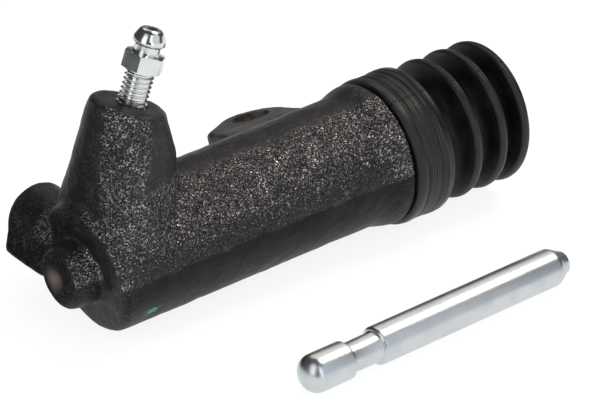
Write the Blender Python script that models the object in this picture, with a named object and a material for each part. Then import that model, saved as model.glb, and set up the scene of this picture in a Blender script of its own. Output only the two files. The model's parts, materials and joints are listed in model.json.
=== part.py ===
"""Clutch slave cylinder with its loose push rod, lying at rest on a flat surface.

The sub-parts are drawn in the cylinder's own axes, in metres: X runs along the bore towards the boot,
the origin is on the bore's axis at the shoulder where the boot begins, and Z points up through the bleeder.
An empty then lays the whole on the surface, so that the boot's bead and the closed end both touch it.
"""

import math

import bmesh
import bpy
from mathutils import Matrix, Vector

MM = 0.001
OBJECT_NAME = "clutch_slave_cylinder"

# Gaps between neighbouring pieces
SEAT_GAP = 0.3 * MM
PISTON_CLEARANCE = 0.08 * MM
THREAD_CLEARANCE = 0.15 * MM

# Barrel, with a flared mouth and a spigot that the boot grips
BARREL_RADIUS = 18.1 * MM
BARREL_SEGMENTS = 56
BORE_RADIUS = 10.3 * MM
BORE_DEPTH = 84.0 * MM
BORE_CHAMFER = 1.0 * MM
DRILL_POINT_DEPTH = 3.0 * MM
MOUTH_RADIUS = 19.8 * MM
FLARE_LENGTH = 9.5 * MM
MOUTH_EDGE = 0.8 * MM
SPIGOT_RADIUS = 16.8 * MM
SPIGOT_LENGTH = 9.0 * MM
SPIGOT_GROOVE_START = 3.0 * MM
SPIGOT_GROOVE_WIDTH = 2.6 * MM
SPIGOT_GROOVE_DEPTH = 1.3 * MM

# Closed end: a face that leans outwards towards the top, with a cast nub on the bore's axis
CLOSED_END_WALL = 10.1 * MM
CLOSED_END_LEAN = math.radians(7.5)
CLOSED_END_EDGE = 1.8 * MM
NUB_RADIUS = 8.6 * MM
NUB_LENGTH = 8.1 * MM
NUB_EDGE = 1.3 * MM
NUB_HOLE_RADIUS = 2.4 * MM
NUB_HOLE_DEPTH = 1.2 * MM

# Bleeder tower, leaning towards the mouth
TOWER_TOP_SETBACK = 16.6 * MM
TOWER_TOP_HEIGHT = 43.0 * MM
TOWER_LEAN = math.radians(22.0)
TOWER_RADIUS = 10.5 * MM
TOWER_RIM = 1.6 * MM
TOWER_SEGMENTS = 40
TOWER_FOOT_FORWARD = 24.0 * MM
TOWER_FOOT_HALF_WIDTH = 15.8 * MM

# Bleeder screw and the hole it closes
BLEEDER_THREAD_RADIUS = 3.95 * MM
BLEEDER_THREAD_EXPOSED = 9.3 * MM
BLEEDER_THREAD_HELD = 9.0 * MM
BLEEDER_SHANK_RADIUS = 2.7 * MM
BLEEDER_SHANK_LENGTH = 3.4 * MM
BLEEDER_CONE_LENGTH = 2.4 * MM
BLEEDER_TIP_RADIUS = 0.8 * MM
BLEEDER_HEX_ACROSS_FLATS = 10.0 * MM
BLEEDER_HEX_HEIGHT = 4.6 * MM
BLEEDER_HEX_CHAMFER = 0.7 * MM
BLEEDER_HEX_TURN = math.radians(10.7)
BLEEDER_SHIFT = 0.7 * MM
BLEEDER_NECK_RADIUS = 3.45 * MM
BLEEDER_NECK_HEIGHT = 2.2 * MM
BLEEDER_HEAD_RADIUS = 4.4 * MM
BLEEDER_HEAD_HEIGHT = 4.3 * MM
BLEEDER_HEAD_TOP_RADIUS = 2.7 * MM
BLEEDER_HOLE_RADIUS = 1.2 * MM
BLEED_PASSAGE_RADIUS = 1.5 * MM
AXIAL_PASSAGE_RADIUS = 2.2 * MM

# Inlet boss for the hydraulic pipe, on the far side of the closed end
INLET_SETBACK = 6.8 * MM
INLET_HEIGHT = -0.4 * MM
INLET_RADIUS = 9.65 * MM
INLET_BOTTOM = 7.8 * MM
INLET_BOTTOM_HALF_WIDTH = 11.1 * MM
INLET_CORNER = 1.9 * MM
INLET_NEAR = 13.5 * MM
INLET_REACH = 32.0 * MM
INLET_EDGE = 1.2 * MM
INLET_PORT_RADIUS = 4.4 * MM
INLET_PORT_DEPTH = 13.0 * MM
INLET_PASSAGE_RADIUS = 1.6 * MM

# Mounting lug: a flat ear with one bolt hole, sloping down away from the barrel
LUG_SLOPE = math.radians(21.7)
LUG_HOLE_X = -15.9 * MM
LUG_HOLE_OUT = 29.0 * MM
LUG_TOP_OFFSET = 14.8 * MM
LUG_THICKNESS = 8.0 * MM
LUG_RADIUS = 9.6 * MM
LUG_HOLE_RADIUS = 5.3 * MM
LUG_FLARE_START = math.radians(128.0)
LUG_FLARE_LENGTH = 10.2 * MM
LUG_CORNER = 4.0 * MM
LUG_ROOT_REACH = 19.5 * MM
LUG_EDGE = 1.2 * MM

# Rubber boot: collar, bead and three thin convolutions, drooping slightly at its free end
BOOT_WALL = 1.05 * MM
BOOT_LIP_RADIUS = 20.6 * MM
BOOT_LIP_WIDTH = 4.8 * MM
BOOT_LIP_EDGE = 0.9 * MM
BOOT_COLLAR_RADIUS = 20.2 * MM
BOOT_BEAD_X = 10.4 * MM
BOOT_BEAD_RADIUS = 20.5 * MM
BOOT_BEAD_ROUND = 2.6 * MM
BOOT_RING_RADIUS = 19.6 * MM
BOOT_RING_ROUND = 1.35 * MM
BOOT_RING_PLACES = (21.7 * MM, 30.4 * MM, 38.0 * MM)
BOOT_ROOT_RADIUS = 13.0 * MM
BOOT_NECK_RADIUS = 8.4 * MM
BOOT_NECK_LENGTH = 4.4 * MM
BOOT_HOLE_RADIUS = 5.3 * MM
BOOT_SAG = 0.35 * MM
BOOT_DROOP_START = 17.0 * MM
BOOT_DROOP = math.radians(2.5)
BOOT_SEGMENTS = 40

# Piston, its cup and the conical return spring
PISTON_REST_FACE = 3.0 * MM
PISTON_LENGTH = 25.0 * MM
PISTON_EDGE = 0.8 * MM
PISTON_SEGMENTS = 40
PISTON_SOCKET_RADIUS = 6.0 * MM
PISTON_SOCKET_DEPTH = 13.0 * MM
PISTON_SOCKET_CONE = 4.0 * MM
PISTON_NOSE_RADIUS = 5.2 * MM
PISTON_NOSE_LENGTH = 7.0 * MM
PISTON_HEAD_RADIUS = 6.6 * MM
PISTON_HEAD_LENGTH = 1.6 * MM
CUP_LENGTH = 4.6 * MM
CUP_LIP_DEPTH = 2.2 * MM
CUP_LIP_WALL = 1.3 * MM
SPRING_WIRE_RADIUS = 0.6 * MM
SPRING_SMALL_RADIUS = 4.2 * MM
SPRING_LARGE_RADIUS = 8.6 * MM
SPRING_TURNS = 7.5
SPRING_POINTS_PER_TURN = 14

# Push rod, lying beside the cylinder on the same surface
ROD_RADIUS = 5.2 * MM
ROD_LENGTH = 91.3 * MM
ROD_HEAD_LENGTH = 14.3 * MM
ROD_DOME = 4.2 * MM
ROD_NECK_RADIUS = 4.1 * MM
ROD_NECK_LENGTH = 9.7 * MM
ROD_CHAMFER = 0.5 * MM
ROD_TIP_CONE = 3.6 * MM
ROD_TIP_RADIUS = 3.3 * MM
ROD_TIP_DOME = 1.8 * MM
ROD_HEAD_X = -69.6 * MM
ROD_HEAD_Y = -60.1 * MM
ROD_YAW = math.radians(3.1)

# Values worked out from the sizes above
CLOSED_END_DEPTH = BORE_DEPTH + CLOSED_END_WALL
TOWER_TOP_X = TOWER_TOP_SETBACK - CLOSED_END_DEPTH
INLET_X = INLET_SETBACK - CLOSED_END_DEPTH
SPIGOT_END = SPIGOT_LENGTH
BOOT_TIP = BOOT_RING_PLACES[-1] + BOOT_RING_ROUND + BOOT_NECK_LENGTH
PISTON_RADIUS = BORE_RADIUS - PISTON_CLEARANCE
PISTON_CROWN = PISTON_REST_FACE - PISTON_LENGTH
TOWER_AXIS = Vector((math.sin(TOWER_LEAN), 0.0, math.cos(TOWER_LEAN)))
TOWER_FORWARD = Vector((math.cos(TOWER_LEAN), 0.0, -math.sin(TOWER_LEAN)))
TOWER_TOP = Vector((TOWER_TOP_X, 0.0, TOWER_TOP_HEIGHT))
BLEEDER_SEAT = TOWER_TOP + TOWER_FORWARD * BLEEDER_SHIFT
LUG_NORMAL = Vector((0.0, math.sin(LUG_SLOPE), math.cos(LUG_SLOPE)))
LUG_OUTWARD = Vector((0.0, math.cos(LUG_SLOPE), -math.sin(LUG_SLOPE)))
CLOSED_END_FOOT = CLOSED_END_DEPTH - CLOSED_END_EDGE - BARREL_RADIUS * math.tan(CLOSED_END_LEAN)
BOOT_FOOT = BOOT_LIP_RADIUS + BOOT_SAG
LAY_TILT = math.atan2(BOOT_FOOT - BARREL_RADIUS, BOOT_LIP_EDGE + CLOSED_END_FOOT)
EPSILON = 0.5 * MM


def clear_scene():
    """Remove every object of the scene."""
    for item in list(bpy.data.objects):
        bpy.data.objects.remove(item, do_unlink=True)


def new_collection(name):
    """A collection linked to the scene."""
    found = bpy.data.collections.new(name)
    bpy.context.scene.collection.children.link(found)
    return found


def new_material(name, colour, roughness, metallic):
    """A Principled material."""
    made = bpy.data.materials.new(name)
    made.use_nodes = True
    shader = made.node_tree.nodes["Principled BSDF"]
    shader.inputs["Base Color"].default_value = (*colour, 1.0)
    shader.inputs["Roughness"].default_value = roughness
    shader.inputs["Metallic"].default_value = metallic
    return made


def finish_mesh(mesh_data, name):
    """Merge doubles, point the faces outwards and give back a mesh."""
    bmesh.ops.remove_doubles(mesh_data, verts=mesh_data.verts, dist=1e-6)
    bmesh.ops.recalc_face_normals(mesh_data, faces=mesh_data.faces)
    mesh = bpy.data.meshes.new(name)
    mesh_data.to_mesh(mesh)
    mesh_data.free()
    mesh.shade_smooth()
    mesh.set_sharp_from_angle(angle=math.radians(35.0))
    return mesh


def add_piece(name, mesh, collection, material, parent):
    """An object of this mesh, coloured and parented."""
    piece = bpy.data.objects.new(name, mesh)
    collection.objects.link(piece)
    if material:
        mesh.materials.append(material)
    piece.parent = parent
    return piece


def add_cutter(name, mesh, collection, parent):
    """A helper solid that only takes part in a Boolean."""
    cutter = add_piece(name, mesh, collection, None, parent)
    cutter.hide_render = True
    cutter.display_type = "WIRE"
    return cutter


def combine(piece, other, operation):
    """Add a Boolean of this piece with another."""
    modifier = piece.modifiers.new(other.name, "BOOLEAN")
    modifier.operation = operation
    modifier.solver = "EXACT"
    modifier.object = other


def turned_mesh(name, profile, segments, shape=None):
    """A solid of revolution about X. The profile is (x, radius) pairs; a closed one never meets the axis."""
    turned = bmesh.new()
    points = [turned.verts.new((x, 0.0, radius)) for x, radius in profile]
    edges = [turned.edges.new(pair) for pair in zip(points, points[1:])]
    if min(radius for _, radius in profile) > 0.0:
        edges.append(turned.edges.new((points[-1], points[0])))
    bmesh.ops.spin(
        turned,
        geom=points + edges,
        cent=(0.0, 0.0, 0.0),
        axis=(1.0, 0.0, 0.0),
        angle=math.tau,
        steps=segments,
        use_merge=True,
    )
    bmesh.ops.remove_doubles(turned, verts=turned.verts, dist=1e-6)
    if shape:
        for vertex in turned.verts:
            vertex.co = shape(vertex.co)
    return finish_mesh(turned, name)


def rod_mesh(name, radius, start, end, segments=32, end_radius=None):
    """A plain round bar from start to end, which may taper to another radius."""
    bar = bmesh.new()
    place = Vector((0.0, 0.0, 1.0)).rotation_difference(end - start).to_matrix().to_4x4()
    place.translation = 0.5 * (start + end)
    bmesh.ops.create_cone(
        bar,
        cap_ends=True,
        segments=segments,
        radius1=radius,
        radius2=end_radius or radius,
        depth=(end - start).length,
        matrix=place @ Matrix.Rotation(math.pi / segments, 4, "Z"),
    )
    return finish_mesh(bar, name)


def arc(centre, radius, first, last, steps):
    """Points of an arc in a plane, from one angle to another."""
    turn = (last - first) / steps
    angles = [first + turn * step for step in range(steps + 1)]
    return [(centre[0] + radius * math.cos(a), centre[1] + radius * math.sin(a)) for a in angles]


def plate_mesh(name, outline, thickness, edge, place):
    """A flat outline in XY, extruded up by its thickness, with rounded edges, then placed."""
    plate = bmesh.new()
    rim = [plate.verts.new((x, y, 0.0)) for x, y in outline]
    base = plate.faces.new(rim)
    grown = bmesh.ops.extrude_face_region(plate, geom=[base])
    top = [item for item in grown["geom"] if isinstance(item, bmesh.types.BMVert)]
    bmesh.ops.translate(plate, verts=top, vec=(0.0, 0.0, thickness))
    if edge:
        flat = [e for e in plate.edges if abs(e.verts[0].co.z - e.verts[1].co.z) < 1e-7]
        bmesh.ops.bevel(plate, geom=flat, offset=edge, segments=3, profile=0.5, affect="EDGES")
    bmesh.ops.transform(plate, matrix=place, verts=plate.verts)
    return finish_mesh(plate, name)


def frame_at(origin, along, across, normal):
    """The matrix that takes X, Y and Z to three directions at a place."""
    matrix = Matrix((along, across, normal)).transposed().to_4x4()
    matrix.translation = origin
    return matrix


def barrel_mesh():
    """The barrel with its flared mouth, the spigot and a rounded closed end whose face leans."""
    groove_floor = SPIGOT_RADIUS - SPIGOT_GROOVE_DEPTH
    groove_end = SPIGOT_GROOVE_START + SPIGOT_GROOVE_WIDTH
    profile = [(SPIGOT_END, 0.0), (SPIGOT_END, SPIGOT_RADIUS - MOUTH_EDGE)]
    profile.append((SPIGOT_END - MOUTH_EDGE, SPIGOT_RADIUS))
    profile += [(groove_end, SPIGOT_RADIUS), (groove_end, groove_floor)]
    profile += [(SPIGOT_GROOVE_START, groove_floor), (SPIGOT_GROOVE_START, SPIGOT_RADIUS)]
    profile += [(0.0, SPIGOT_RADIUS), (0.0, MOUTH_RADIUS - MOUTH_EDGE), (-MOUTH_EDGE, MOUTH_RADIUS)]
    for step in range(1, 8):
        share = step / 7
        rise = 0.5 + 0.5 * math.cos(math.pi * share)
        x = -MOUTH_EDGE - (FLARE_LENGTH - MOUTH_EDGE) * share
        profile.append((x, BARREL_RADIUS + (MOUTH_RADIUS - BARREL_RADIUS) * rise))
    edge_centre = (CLOSED_END_EDGE - CLOSED_END_DEPTH, BARREL_RADIUS - CLOSED_END_EDGE)
    profile += arc(edge_centre, CLOSED_END_EDGE, math.pi / 2, math.pi, 5)
    profile.append((-CLOSED_END_DEPTH, 0.0))

    def lean(point):
        """Slide the closed end along X in step with its height."""
        if point.x > -FLARE_LENGTH - EPSILON:
            return point
        return Vector((point.x - math.tan(CLOSED_END_LEAN) * point.z, point.y, point.z))

    return turned_mesh("barrel", profile, BARREL_SEGMENTS, lean)


def nub_mesh():
    """The cast nub that stands on the closed end."""
    face = -CLOSED_END_DEPTH - NUB_LENGTH
    profile = [(-BORE_DEPTH - DRILL_POINT_DEPTH, 0.0), (-BORE_DEPTH - DRILL_POINT_DEPTH, NUB_RADIUS)]
    profile += arc((face + NUB_EDGE, NUB_RADIUS - NUB_EDGE), NUB_EDGE, math.pi / 2, math.pi, 3)
    profile.append((face, 0.0))
    return turned_mesh("nub", profile, 40)


def tower_sections():
    """Sections of the tower below its top face: depth, reach to the front and back, and half width."""
    rim = TOWER_RADIUS - TOWER_RIM
    rows = [(0.0, rim, rim, rim)]
    for angle in (30.0, 60.0, 90.0):
        radius = rim + TOWER_RIM * math.sin(math.radians(angle))
        rows.append((TOWER_RIM * (1.0 - math.cos(math.radians(angle))), radius, radius, radius))
    spread = TOWER_FOOT_FORWARD - TOWER_RADIUS
    widen = TOWER_FOOT_HALF_WIDTH - TOWER_RADIUS
    backs = (0.98, 0.92, 0.84, 0.73, 0.6, 0.28)
    shares = (0.11, 0.24, 0.4, 0.6, 0.8, 1.0)
    fronts = (0.15, 0.42, 0.66, 0.88, 1.0, 1.0)
    widths = (0.15, 0.28, 0.40, 0.62, 0.9, 1.0)
    foot = (TOWER_TOP_HEIGHT - 0.4 * BARREL_RADIUS) / math.cos(TOWER_LEAN)
    for share, back, front, width in zip(shares, backs, fronts, widths):
        reach = TOWER_RADIUS + spread * front
        rows.append((share * foot, reach, TOWER_RADIUS * back, TOWER_RADIUS + widen * width))
    return rows


def tower_mesh():
    """A loft through the tower's sections, square to its axis."""
    loft = bmesh.new()
    sideways = Vector((0.0, 1.0, 0.0))
    previous = None
    for depth, front, back, half_width in tower_sections():
        ring = []
        for step in range(TOWER_SEGMENTS):
            angle = math.tau * step / TOWER_SEGMENTS
            reach = front if math.cos(angle) > 0.0 else back
            offset = TOWER_FORWARD * reach * math.cos(angle) + sideways * half_width * math.sin(angle)
            ring.append(loft.verts.new(TOWER_TOP - TOWER_AXIS * depth + offset))
        edges = [loft.edges.new((ring[i - 1], ring[i])) for i in range(TOWER_SEGMENTS)]
        if previous is None:
            loft.faces.new(ring)
        else:
            bmesh.ops.bridge_loops(loft, edges=previous + edges)
        previous = edges
    loft.faces.new(reversed(ring))
    return finish_mesh(loft, "tower")


def inlet_boss_mesh():
    """The boss for the pipe: round above, square below, drawn in X and Z and extruded along Y."""
    outline = arc((0.0, 0.0), INLET_RADIUS, math.radians(-5.0), math.radians(185.0), 20)
    corner_height = INLET_CORNER - INLET_BOTTOM
    corner_place = INLET_BOTTOM_HALF_WIDTH - INLET_CORNER
    outline += arc((-corner_place, corner_height), INLET_CORNER, math.pi, 1.5 * math.pi, 3)
    outline += arc((corner_place, corner_height), INLET_CORNER, 1.5 * math.pi, math.tau, 3)
    origin = Vector((INLET_X, INLET_REACH, INLET_HEIGHT))
    place = frame_at(origin, Vector((1, 0, 0)), Vector((0, 0, 1)), Vector((0, -1, 0)))
    return plate_mesh("inlet_boss", outline, INLET_REACH - INLET_NEAR, INLET_EDGE, place)


def lug_outline():
    """The ear seen square on, with the bolt hole at the origin and the barrel towards minus Y."""
    outline = arc((0.0, 0.0), LUG_RADIUS, 0.0, LUG_FLARE_START, 14)
    along = Vector((-math.sin(LUG_FLARE_START), math.cos(LUG_FLARE_START)))
    outwards = Vector((math.cos(LUG_FLARE_START), math.sin(LUG_FLARE_START)))
    corner = Vector(outline[-1]) + along * LUG_FLARE_LENGTH - outwards * LUG_CORNER
    outline += arc(corner, LUG_CORNER, LUG_FLARE_START, math.radians(176), 5)
    outline.append((outline[-1][0] - 1.5 * MM, -LUG_ROOT_REACH))
    outline.append((LUG_RADIUS, -LUG_ROOT_REACH))
    return outline


def lug_origin():
    """The bolt hole's centre on the lug's upper face."""
    return Vector((LUG_HOLE_X, 0.0, 0.0)) + LUG_OUTWARD * LUG_HOLE_OUT + LUG_NORMAL * LUG_TOP_OFFSET


def lug_mesh():
    """The mounting lug."""
    origin = lug_origin() - LUG_NORMAL * LUG_THICKNESS
    place = frame_at(origin, Vector((1, 0, 0)), LUG_OUTWARD, LUG_NORMAL)
    return plate_mesh("lug", lug_outline(), LUG_THICKNESS, LUG_EDGE, place)


def bleeder_levels():
    """Distances along the bleeder's axis, from the tower's top face."""
    seat = BLEEDER_THREAD_HELD + BLEEDER_SHANK_LENGTH
    hex_bottom = BLEEDER_THREAD_EXPOSED
    hex_top = hex_bottom + BLEEDER_HEX_HEIGHT
    neck_top = hex_top + BLEEDER_NECK_HEIGHT
    return seat, hex_bottom, hex_top, neck_top


def casting_cutters(collection, parent):
    """The hollows of the casting: bore with its end passage, bleeder hole, port, bolt hole and nub hole."""
    along = Vector((1.0, 0.0, 0.0))
    bore_profile = [(SPIGOT_END + EPSILON, 0.0), (SPIGOT_END + EPSILON, BORE_RADIUS + BORE_CHAMFER + EPSILON)]
    bore_profile += [(SPIGOT_END - BORE_CHAMFER, BORE_RADIUS), (-BORE_DEPTH, BORE_RADIUS)]
    foot = BLEEDER_SEAT - TOWER_AXIS * ((BLEEDER_SEAT.z + EPSILON) / math.cos(TOWER_LEAN))
    axial_end = foot.x - BLEED_PASSAGE_RADIUS - EPSILON
    bore_profile.append((-BORE_DEPTH - DRILL_POINT_DEPTH, AXIAL_PASSAGE_RADIUS))
    bore_profile.append((axial_end, AXIAL_PASSAGE_RADIUS))
    bore_profile.append((axial_end, 0.0))
    meshes = [turned_mesh("bore", bore_profile, BARREL_SEGMENTS)]

    seat = bleeder_levels()[0]
    hole_radius = BLEEDER_THREAD_RADIUS + THREAD_CLEARANCE
    shank_radius = BLEEDER_SHANK_RADIUS + SEAT_GAP
    cone_end = seat + BLEEDER_CONE_LENGTH + SEAT_GAP
    held = BLEEDER_THREAD_HELD + SEAT_GAP
    profile = [(-EPSILON, 0.0), (-EPSILON, hole_radius), (held, hole_radius), (held, shank_radius)]
    profile += [(seat + SEAT_GAP, shank_radius), (cone_end, BLEED_PASSAGE_RADIUS), (cone_end, 0.0)]
    turn = along.rotation_difference(-TOWER_AXIS).to_matrix()
    meshes.append(turned_mesh("bleeder_hole", profile, 32, lambda point: turn @ point + BLEEDER_SEAT))
    passage_start = BLEEDER_SEAT - TOWER_AXIS * (cone_end - EPSILON)
    meshes.append(rod_mesh("bleed_passage", BLEED_PASSAGE_RADIUS, passage_start, foot, 20))

    port_centre = Vector((INLET_X, 0.0, INLET_HEIGHT))
    port_mouth = port_centre + Vector((0.0, INLET_REACH + EPSILON, 0.0))
    port_floor = port_centre + Vector((0.0, INLET_REACH - INLET_PORT_DEPTH, 0.0))
    meshes.append(rod_mesh("inlet_port", INLET_PORT_RADIUS, port_mouth, port_floor))
    passage_end = Vector((INLET_X, -EPSILON, 0.0))
    passage_start = port_floor + Vector((0.0, EPSILON, 0.0))
    meshes.append(rod_mesh("inlet_passage", INLET_PASSAGE_RADIUS, passage_start, passage_end, 20))

    nub_face = -along * (CLOSED_END_DEPTH + NUB_LENGTH + EPSILON)
    nub_floor = -along * (CLOSED_END_DEPTH + NUB_LENGTH - NUB_HOLE_DEPTH)
    meshes.append(rod_mesh("nub_hole", NUB_HOLE_RADIUS, nub_face, nub_floor, 28, 0.5 * NUB_HOLE_RADIUS))
    bolt_top = lug_origin() + LUG_NORMAL * EPSILON
    bolt_foot = lug_origin() - LUG_NORMAL * (LUG_THICKNESS + EPSILON)
    meshes.append(rod_mesh("bolt_hole", LUG_HOLE_RADIUS, bolt_top, bolt_foot))
    return [add_cutter(mesh.name + "_cutter", mesh, collection, parent) for mesh in meshes]


def build_casting(parts, cutters, parent, material):
    """The one-piece casting: barrel, nub, tower, inlet boss and lug joined, then bored."""
    casting = add_piece("cylinder_body", barrel_mesh(), parts, material, parent)
    for mesh in (nub_mesh(), tower_mesh(), inlet_boss_mesh(), lug_mesh()):
        combine(casting, add_cutter(mesh.name + "_form", mesh, cutters, parent), "UNION")
    for cutter in casting_cutters(cutters, parent):
        combine(casting, cutter, "DIFFERENCE")
    return casting


def ring_arc(centre_x, radius, round_radius, steps=4):
    """The rounded crest of a convolution, from its closed-end side to its free side."""
    return arc((centre_x, radius - round_radius), round_radius, math.pi, 0.0, steps)


def root_arc(first_x, last_x, wall):
    """The rounded valley between two flanks, offset inwards by this much."""
    half = 0.5 * (last_x - first_x)
    centre = (0.5 * (first_x + last_x), BOOT_ROOT_RADIUS + half)
    return arc(centre, half + wall, math.pi, math.tau, 4)


def boot_outline(inset):
    """The boot's outer skin, or its inner one when inset by the wall, as (x, radius) pairs."""
    bead_round = BOOT_BEAD_ROUND - inset
    ring_round = BOOT_RING_ROUND - inset
    outline = ring_arc(BOOT_BEAD_X, BOOT_BEAD_RADIUS - inset, bead_round, 6)
    flank = BOOT_BEAD_X + BOOT_BEAD_ROUND
    for place in BOOT_RING_PLACES:
        outline += root_arc(flank, place - BOOT_RING_ROUND, inset)
        outline += ring_arc(place, BOOT_RING_RADIUS - inset, ring_round)
        flank = place + BOOT_RING_ROUND
    return outline


def droop(point):
    """Let the boot's skin sag on its grip, and bend its free length a little downwards."""
    grip = SPIGOT_RADIUS + SEAT_GAP
    outward = (math.hypot(point.y, point.z) - grip) / (BOOT_COLLAR_RADIUS - grip)
    along = (point.x - SPIGOT_END) / (4.0 * MM)
    sag = BOOT_SAG * min(max(outward, along, 0.0), 1.0)
    beyond = max(point.x - BOOT_DROOP_START, 0.0)
    angle = BOOT_DROOP * beyond / (BOOT_RING_PLACES[-1] - BOOT_DROOP_START)
    centre_x = point.x - beyond * (1.0 - math.cos(0.5 * angle))
    centre_z = -sag - beyond * math.sin(0.5 * angle)
    return Vector((centre_x + point.z * math.sin(angle), point.y, centre_z + point.z * math.cos(angle)))


def boot_mesh():
    """The boot as a shell of even wall, gripping the spigot's groove and open at its end for the rod."""
    lip_centre = (SEAT_GAP + BOOT_LIP_EDGE, BOOT_LIP_RADIUS - BOOT_LIP_EDGE)
    outer = arc(lip_centre, BOOT_LIP_EDGE, math.pi, math.pi / 2, 4)
    outer.append((BOOT_LIP_WIDTH, BOOT_LIP_RADIUS))
    outer += [(BOOT_LIP_WIDTH + 0.6 * MM, BOOT_COLLAR_RADIUS - 0.3 * MM)]
    outer += [(BOOT_LIP_WIDTH + 1.2 * MM, BOOT_COLLAR_RADIUS)]
    bead_points = boot_outline(0.0)
    outer += [point for point in bead_points if point[1] > BOOT_COLLAR_RADIUS or point[0] > BOOT_BEAD_X]
    flank = BOOT_RING_PLACES[-1] + BOOT_RING_ROUND
    outer += [(flank, BOOT_NECK_RADIUS + 0.8 * MM), (flank + 0.8 * MM, BOOT_NECK_RADIUS)]
    outer += [(BOOT_TIP - 0.6 * MM, BOOT_NECK_RADIUS), (BOOT_TIP, BOOT_NECK_RADIUS - 0.6 * MM)]
    outer += [(BOOT_TIP, BOOT_HOLE_RADIUS + 0.5 * MM), (BOOT_TIP - 0.5 * MM, BOOT_HOLE_RADIUS)]
    inner_flank = flank - BOOT_WALL
    inner = [(inner_flank, BOOT_HOLE_RADIUS), *reversed(boot_outline(BOOT_WALL))]
    grip = SPIGOT_RADIUS + SEAT_GAP
    rib_radius = grip - SPIGOT_GROOVE_DEPTH
    rib_start = SPIGOT_GROOVE_START + SEAT_GAP
    rib_end = SPIGOT_GROOVE_START + SPIGOT_GROOVE_WIDTH - SEAT_GAP
    inner = [point for point in inner if point[0] > BOOT_BEAD_X - 0.2 * MM]
    inner += [(BOOT_BEAD_X - 0.9 * MM, grip), (rib_end, grip), (rib_end, rib_radius)]
    inner += [(rib_start, rib_radius), (rib_start, grip), (SEAT_GAP, grip)]
    return turned_mesh("boot", outer + inner, BOOT_SEGMENTS, droop)


def hex_cap_mesh():
    """The bleeder's hexagon, standing on X, with its corners taken off."""
    corner = 0.5 * BLEEDER_HEX_ACROSS_FLATS / math.cos(math.pi / 6)
    hexagon = bmesh.new()
    bmesh.ops.create_cone(
        hexagon,
        cap_ends=True,
        segments=6,
        radius1=corner,
        radius2=corner,
        depth=BLEEDER_HEX_HEIGHT,
        matrix=Matrix.Rotation(BLEEDER_HEX_TURN, 4, "X") @ Matrix.Rotation(math.pi / 2, 4, "Y"),
    )
    middle = bleeder_levels()[1] + 0.5 * BLEEDER_HEX_HEIGHT
    bmesh.ops.translate(hexagon, verts=hexagon.verts, vec=(middle, 0.0, 0.0))
    return finish_mesh(hexagon, "hexagon")


def build_bleeder(parts, cutters, parent, material):
    """The bleeder screw: nipple, hexagon, shank, seat cone and the drilling that lets the fluid out."""
    seat, hex_bottom, hex_top, neck_top = bleeder_levels()
    head_top = neck_top + BLEEDER_HEAD_HEIGHT
    neck = BLEEDER_NECK_RADIUS
    shoulder = 0.5 * BLEEDER_HEX_ACROSS_FLATS
    held = -BLEEDER_THREAD_HELD
    profile = [(head_top, 0.0), (head_top, BLEEDER_HEAD_TOP_RADIUS)]
    head_middle = neck_top + 0.45 * BLEEDER_HEAD_HEIGHT
    for angle in (30.0, 60.0, 90.0):
        swell = BLEEDER_HEAD_RADIUS - BLEEDER_HEAD_TOP_RADIUS
        lift = (head_top - head_middle) * math.cos(math.radians(angle))
        profile.append((head_middle + lift, BLEEDER_HEAD_TOP_RADIUS + swell * math.sin(math.radians(angle))))
    profile += [(neck_top + 0.8 * MM, BLEEDER_HEAD_RADIUS), (neck_top, neck), (hex_top, neck)]
    profile += [(hex_top, shoulder - BLEEDER_HEX_CHAMFER), (hex_bottom, shoulder - BLEEDER_HEX_CHAMFER)]
    profile += [(hex_bottom, BLEEDER_THREAD_RADIUS), (held + BLEEDER_HEX_CHAMFER, BLEEDER_THREAD_RADIUS)]
    profile += [(held, BLEEDER_SHANK_RADIUS), (-seat, BLEEDER_SHANK_RADIUS)]
    profile += [(-seat - BLEEDER_CONE_LENGTH, BLEEDER_TIP_RADIUS), (-seat - BLEEDER_CONE_LENGTH, 0.0)]
    screw = add_piece("bleeder_screw", turned_mesh("bleeder_screw", profile, 32), parts, material, parent)
    screw.location = BLEEDER_SEAT
    screw.rotation_mode = "QUATERNION"
    screw.rotation_quaternion = Vector((1.0, 0.0, 0.0)).rotation_difference(TOWER_AXIS)
    axis_start = Vector((head_top + EPSILON, 0.0, 0.0))
    cross_level = -seat + 0.5 * BLEEDER_SHANK_LENGTH
    drilling = rod_mesh("drilling", BLEEDER_HOLE_RADIUS, axis_start, Vector((cross_level, 0.0, 0.0)), 16)
    cross_half = Vector((0.0, BLEEDER_SHANK_RADIUS + EPSILON, 0.0))
    cross_centre = Vector((cross_level, 0.0, 0.0))
    cross_ends = (cross_centre - cross_half, cross_centre + cross_half)
    cross = rod_mesh("cross_drilling", 0.8 * BLEEDER_HOLE_RADIUS, *cross_ends, 12)
    combine(screw, add_cutter("hexagon_form", hex_cap_mesh(), cutters, screw), "UNION")
    for mesh in (drilling, cross):
        combine(screw, add_cutter(mesh.name + "_cutter", mesh, cutters, screw), "DIFFERENCE")
    return screw


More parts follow.
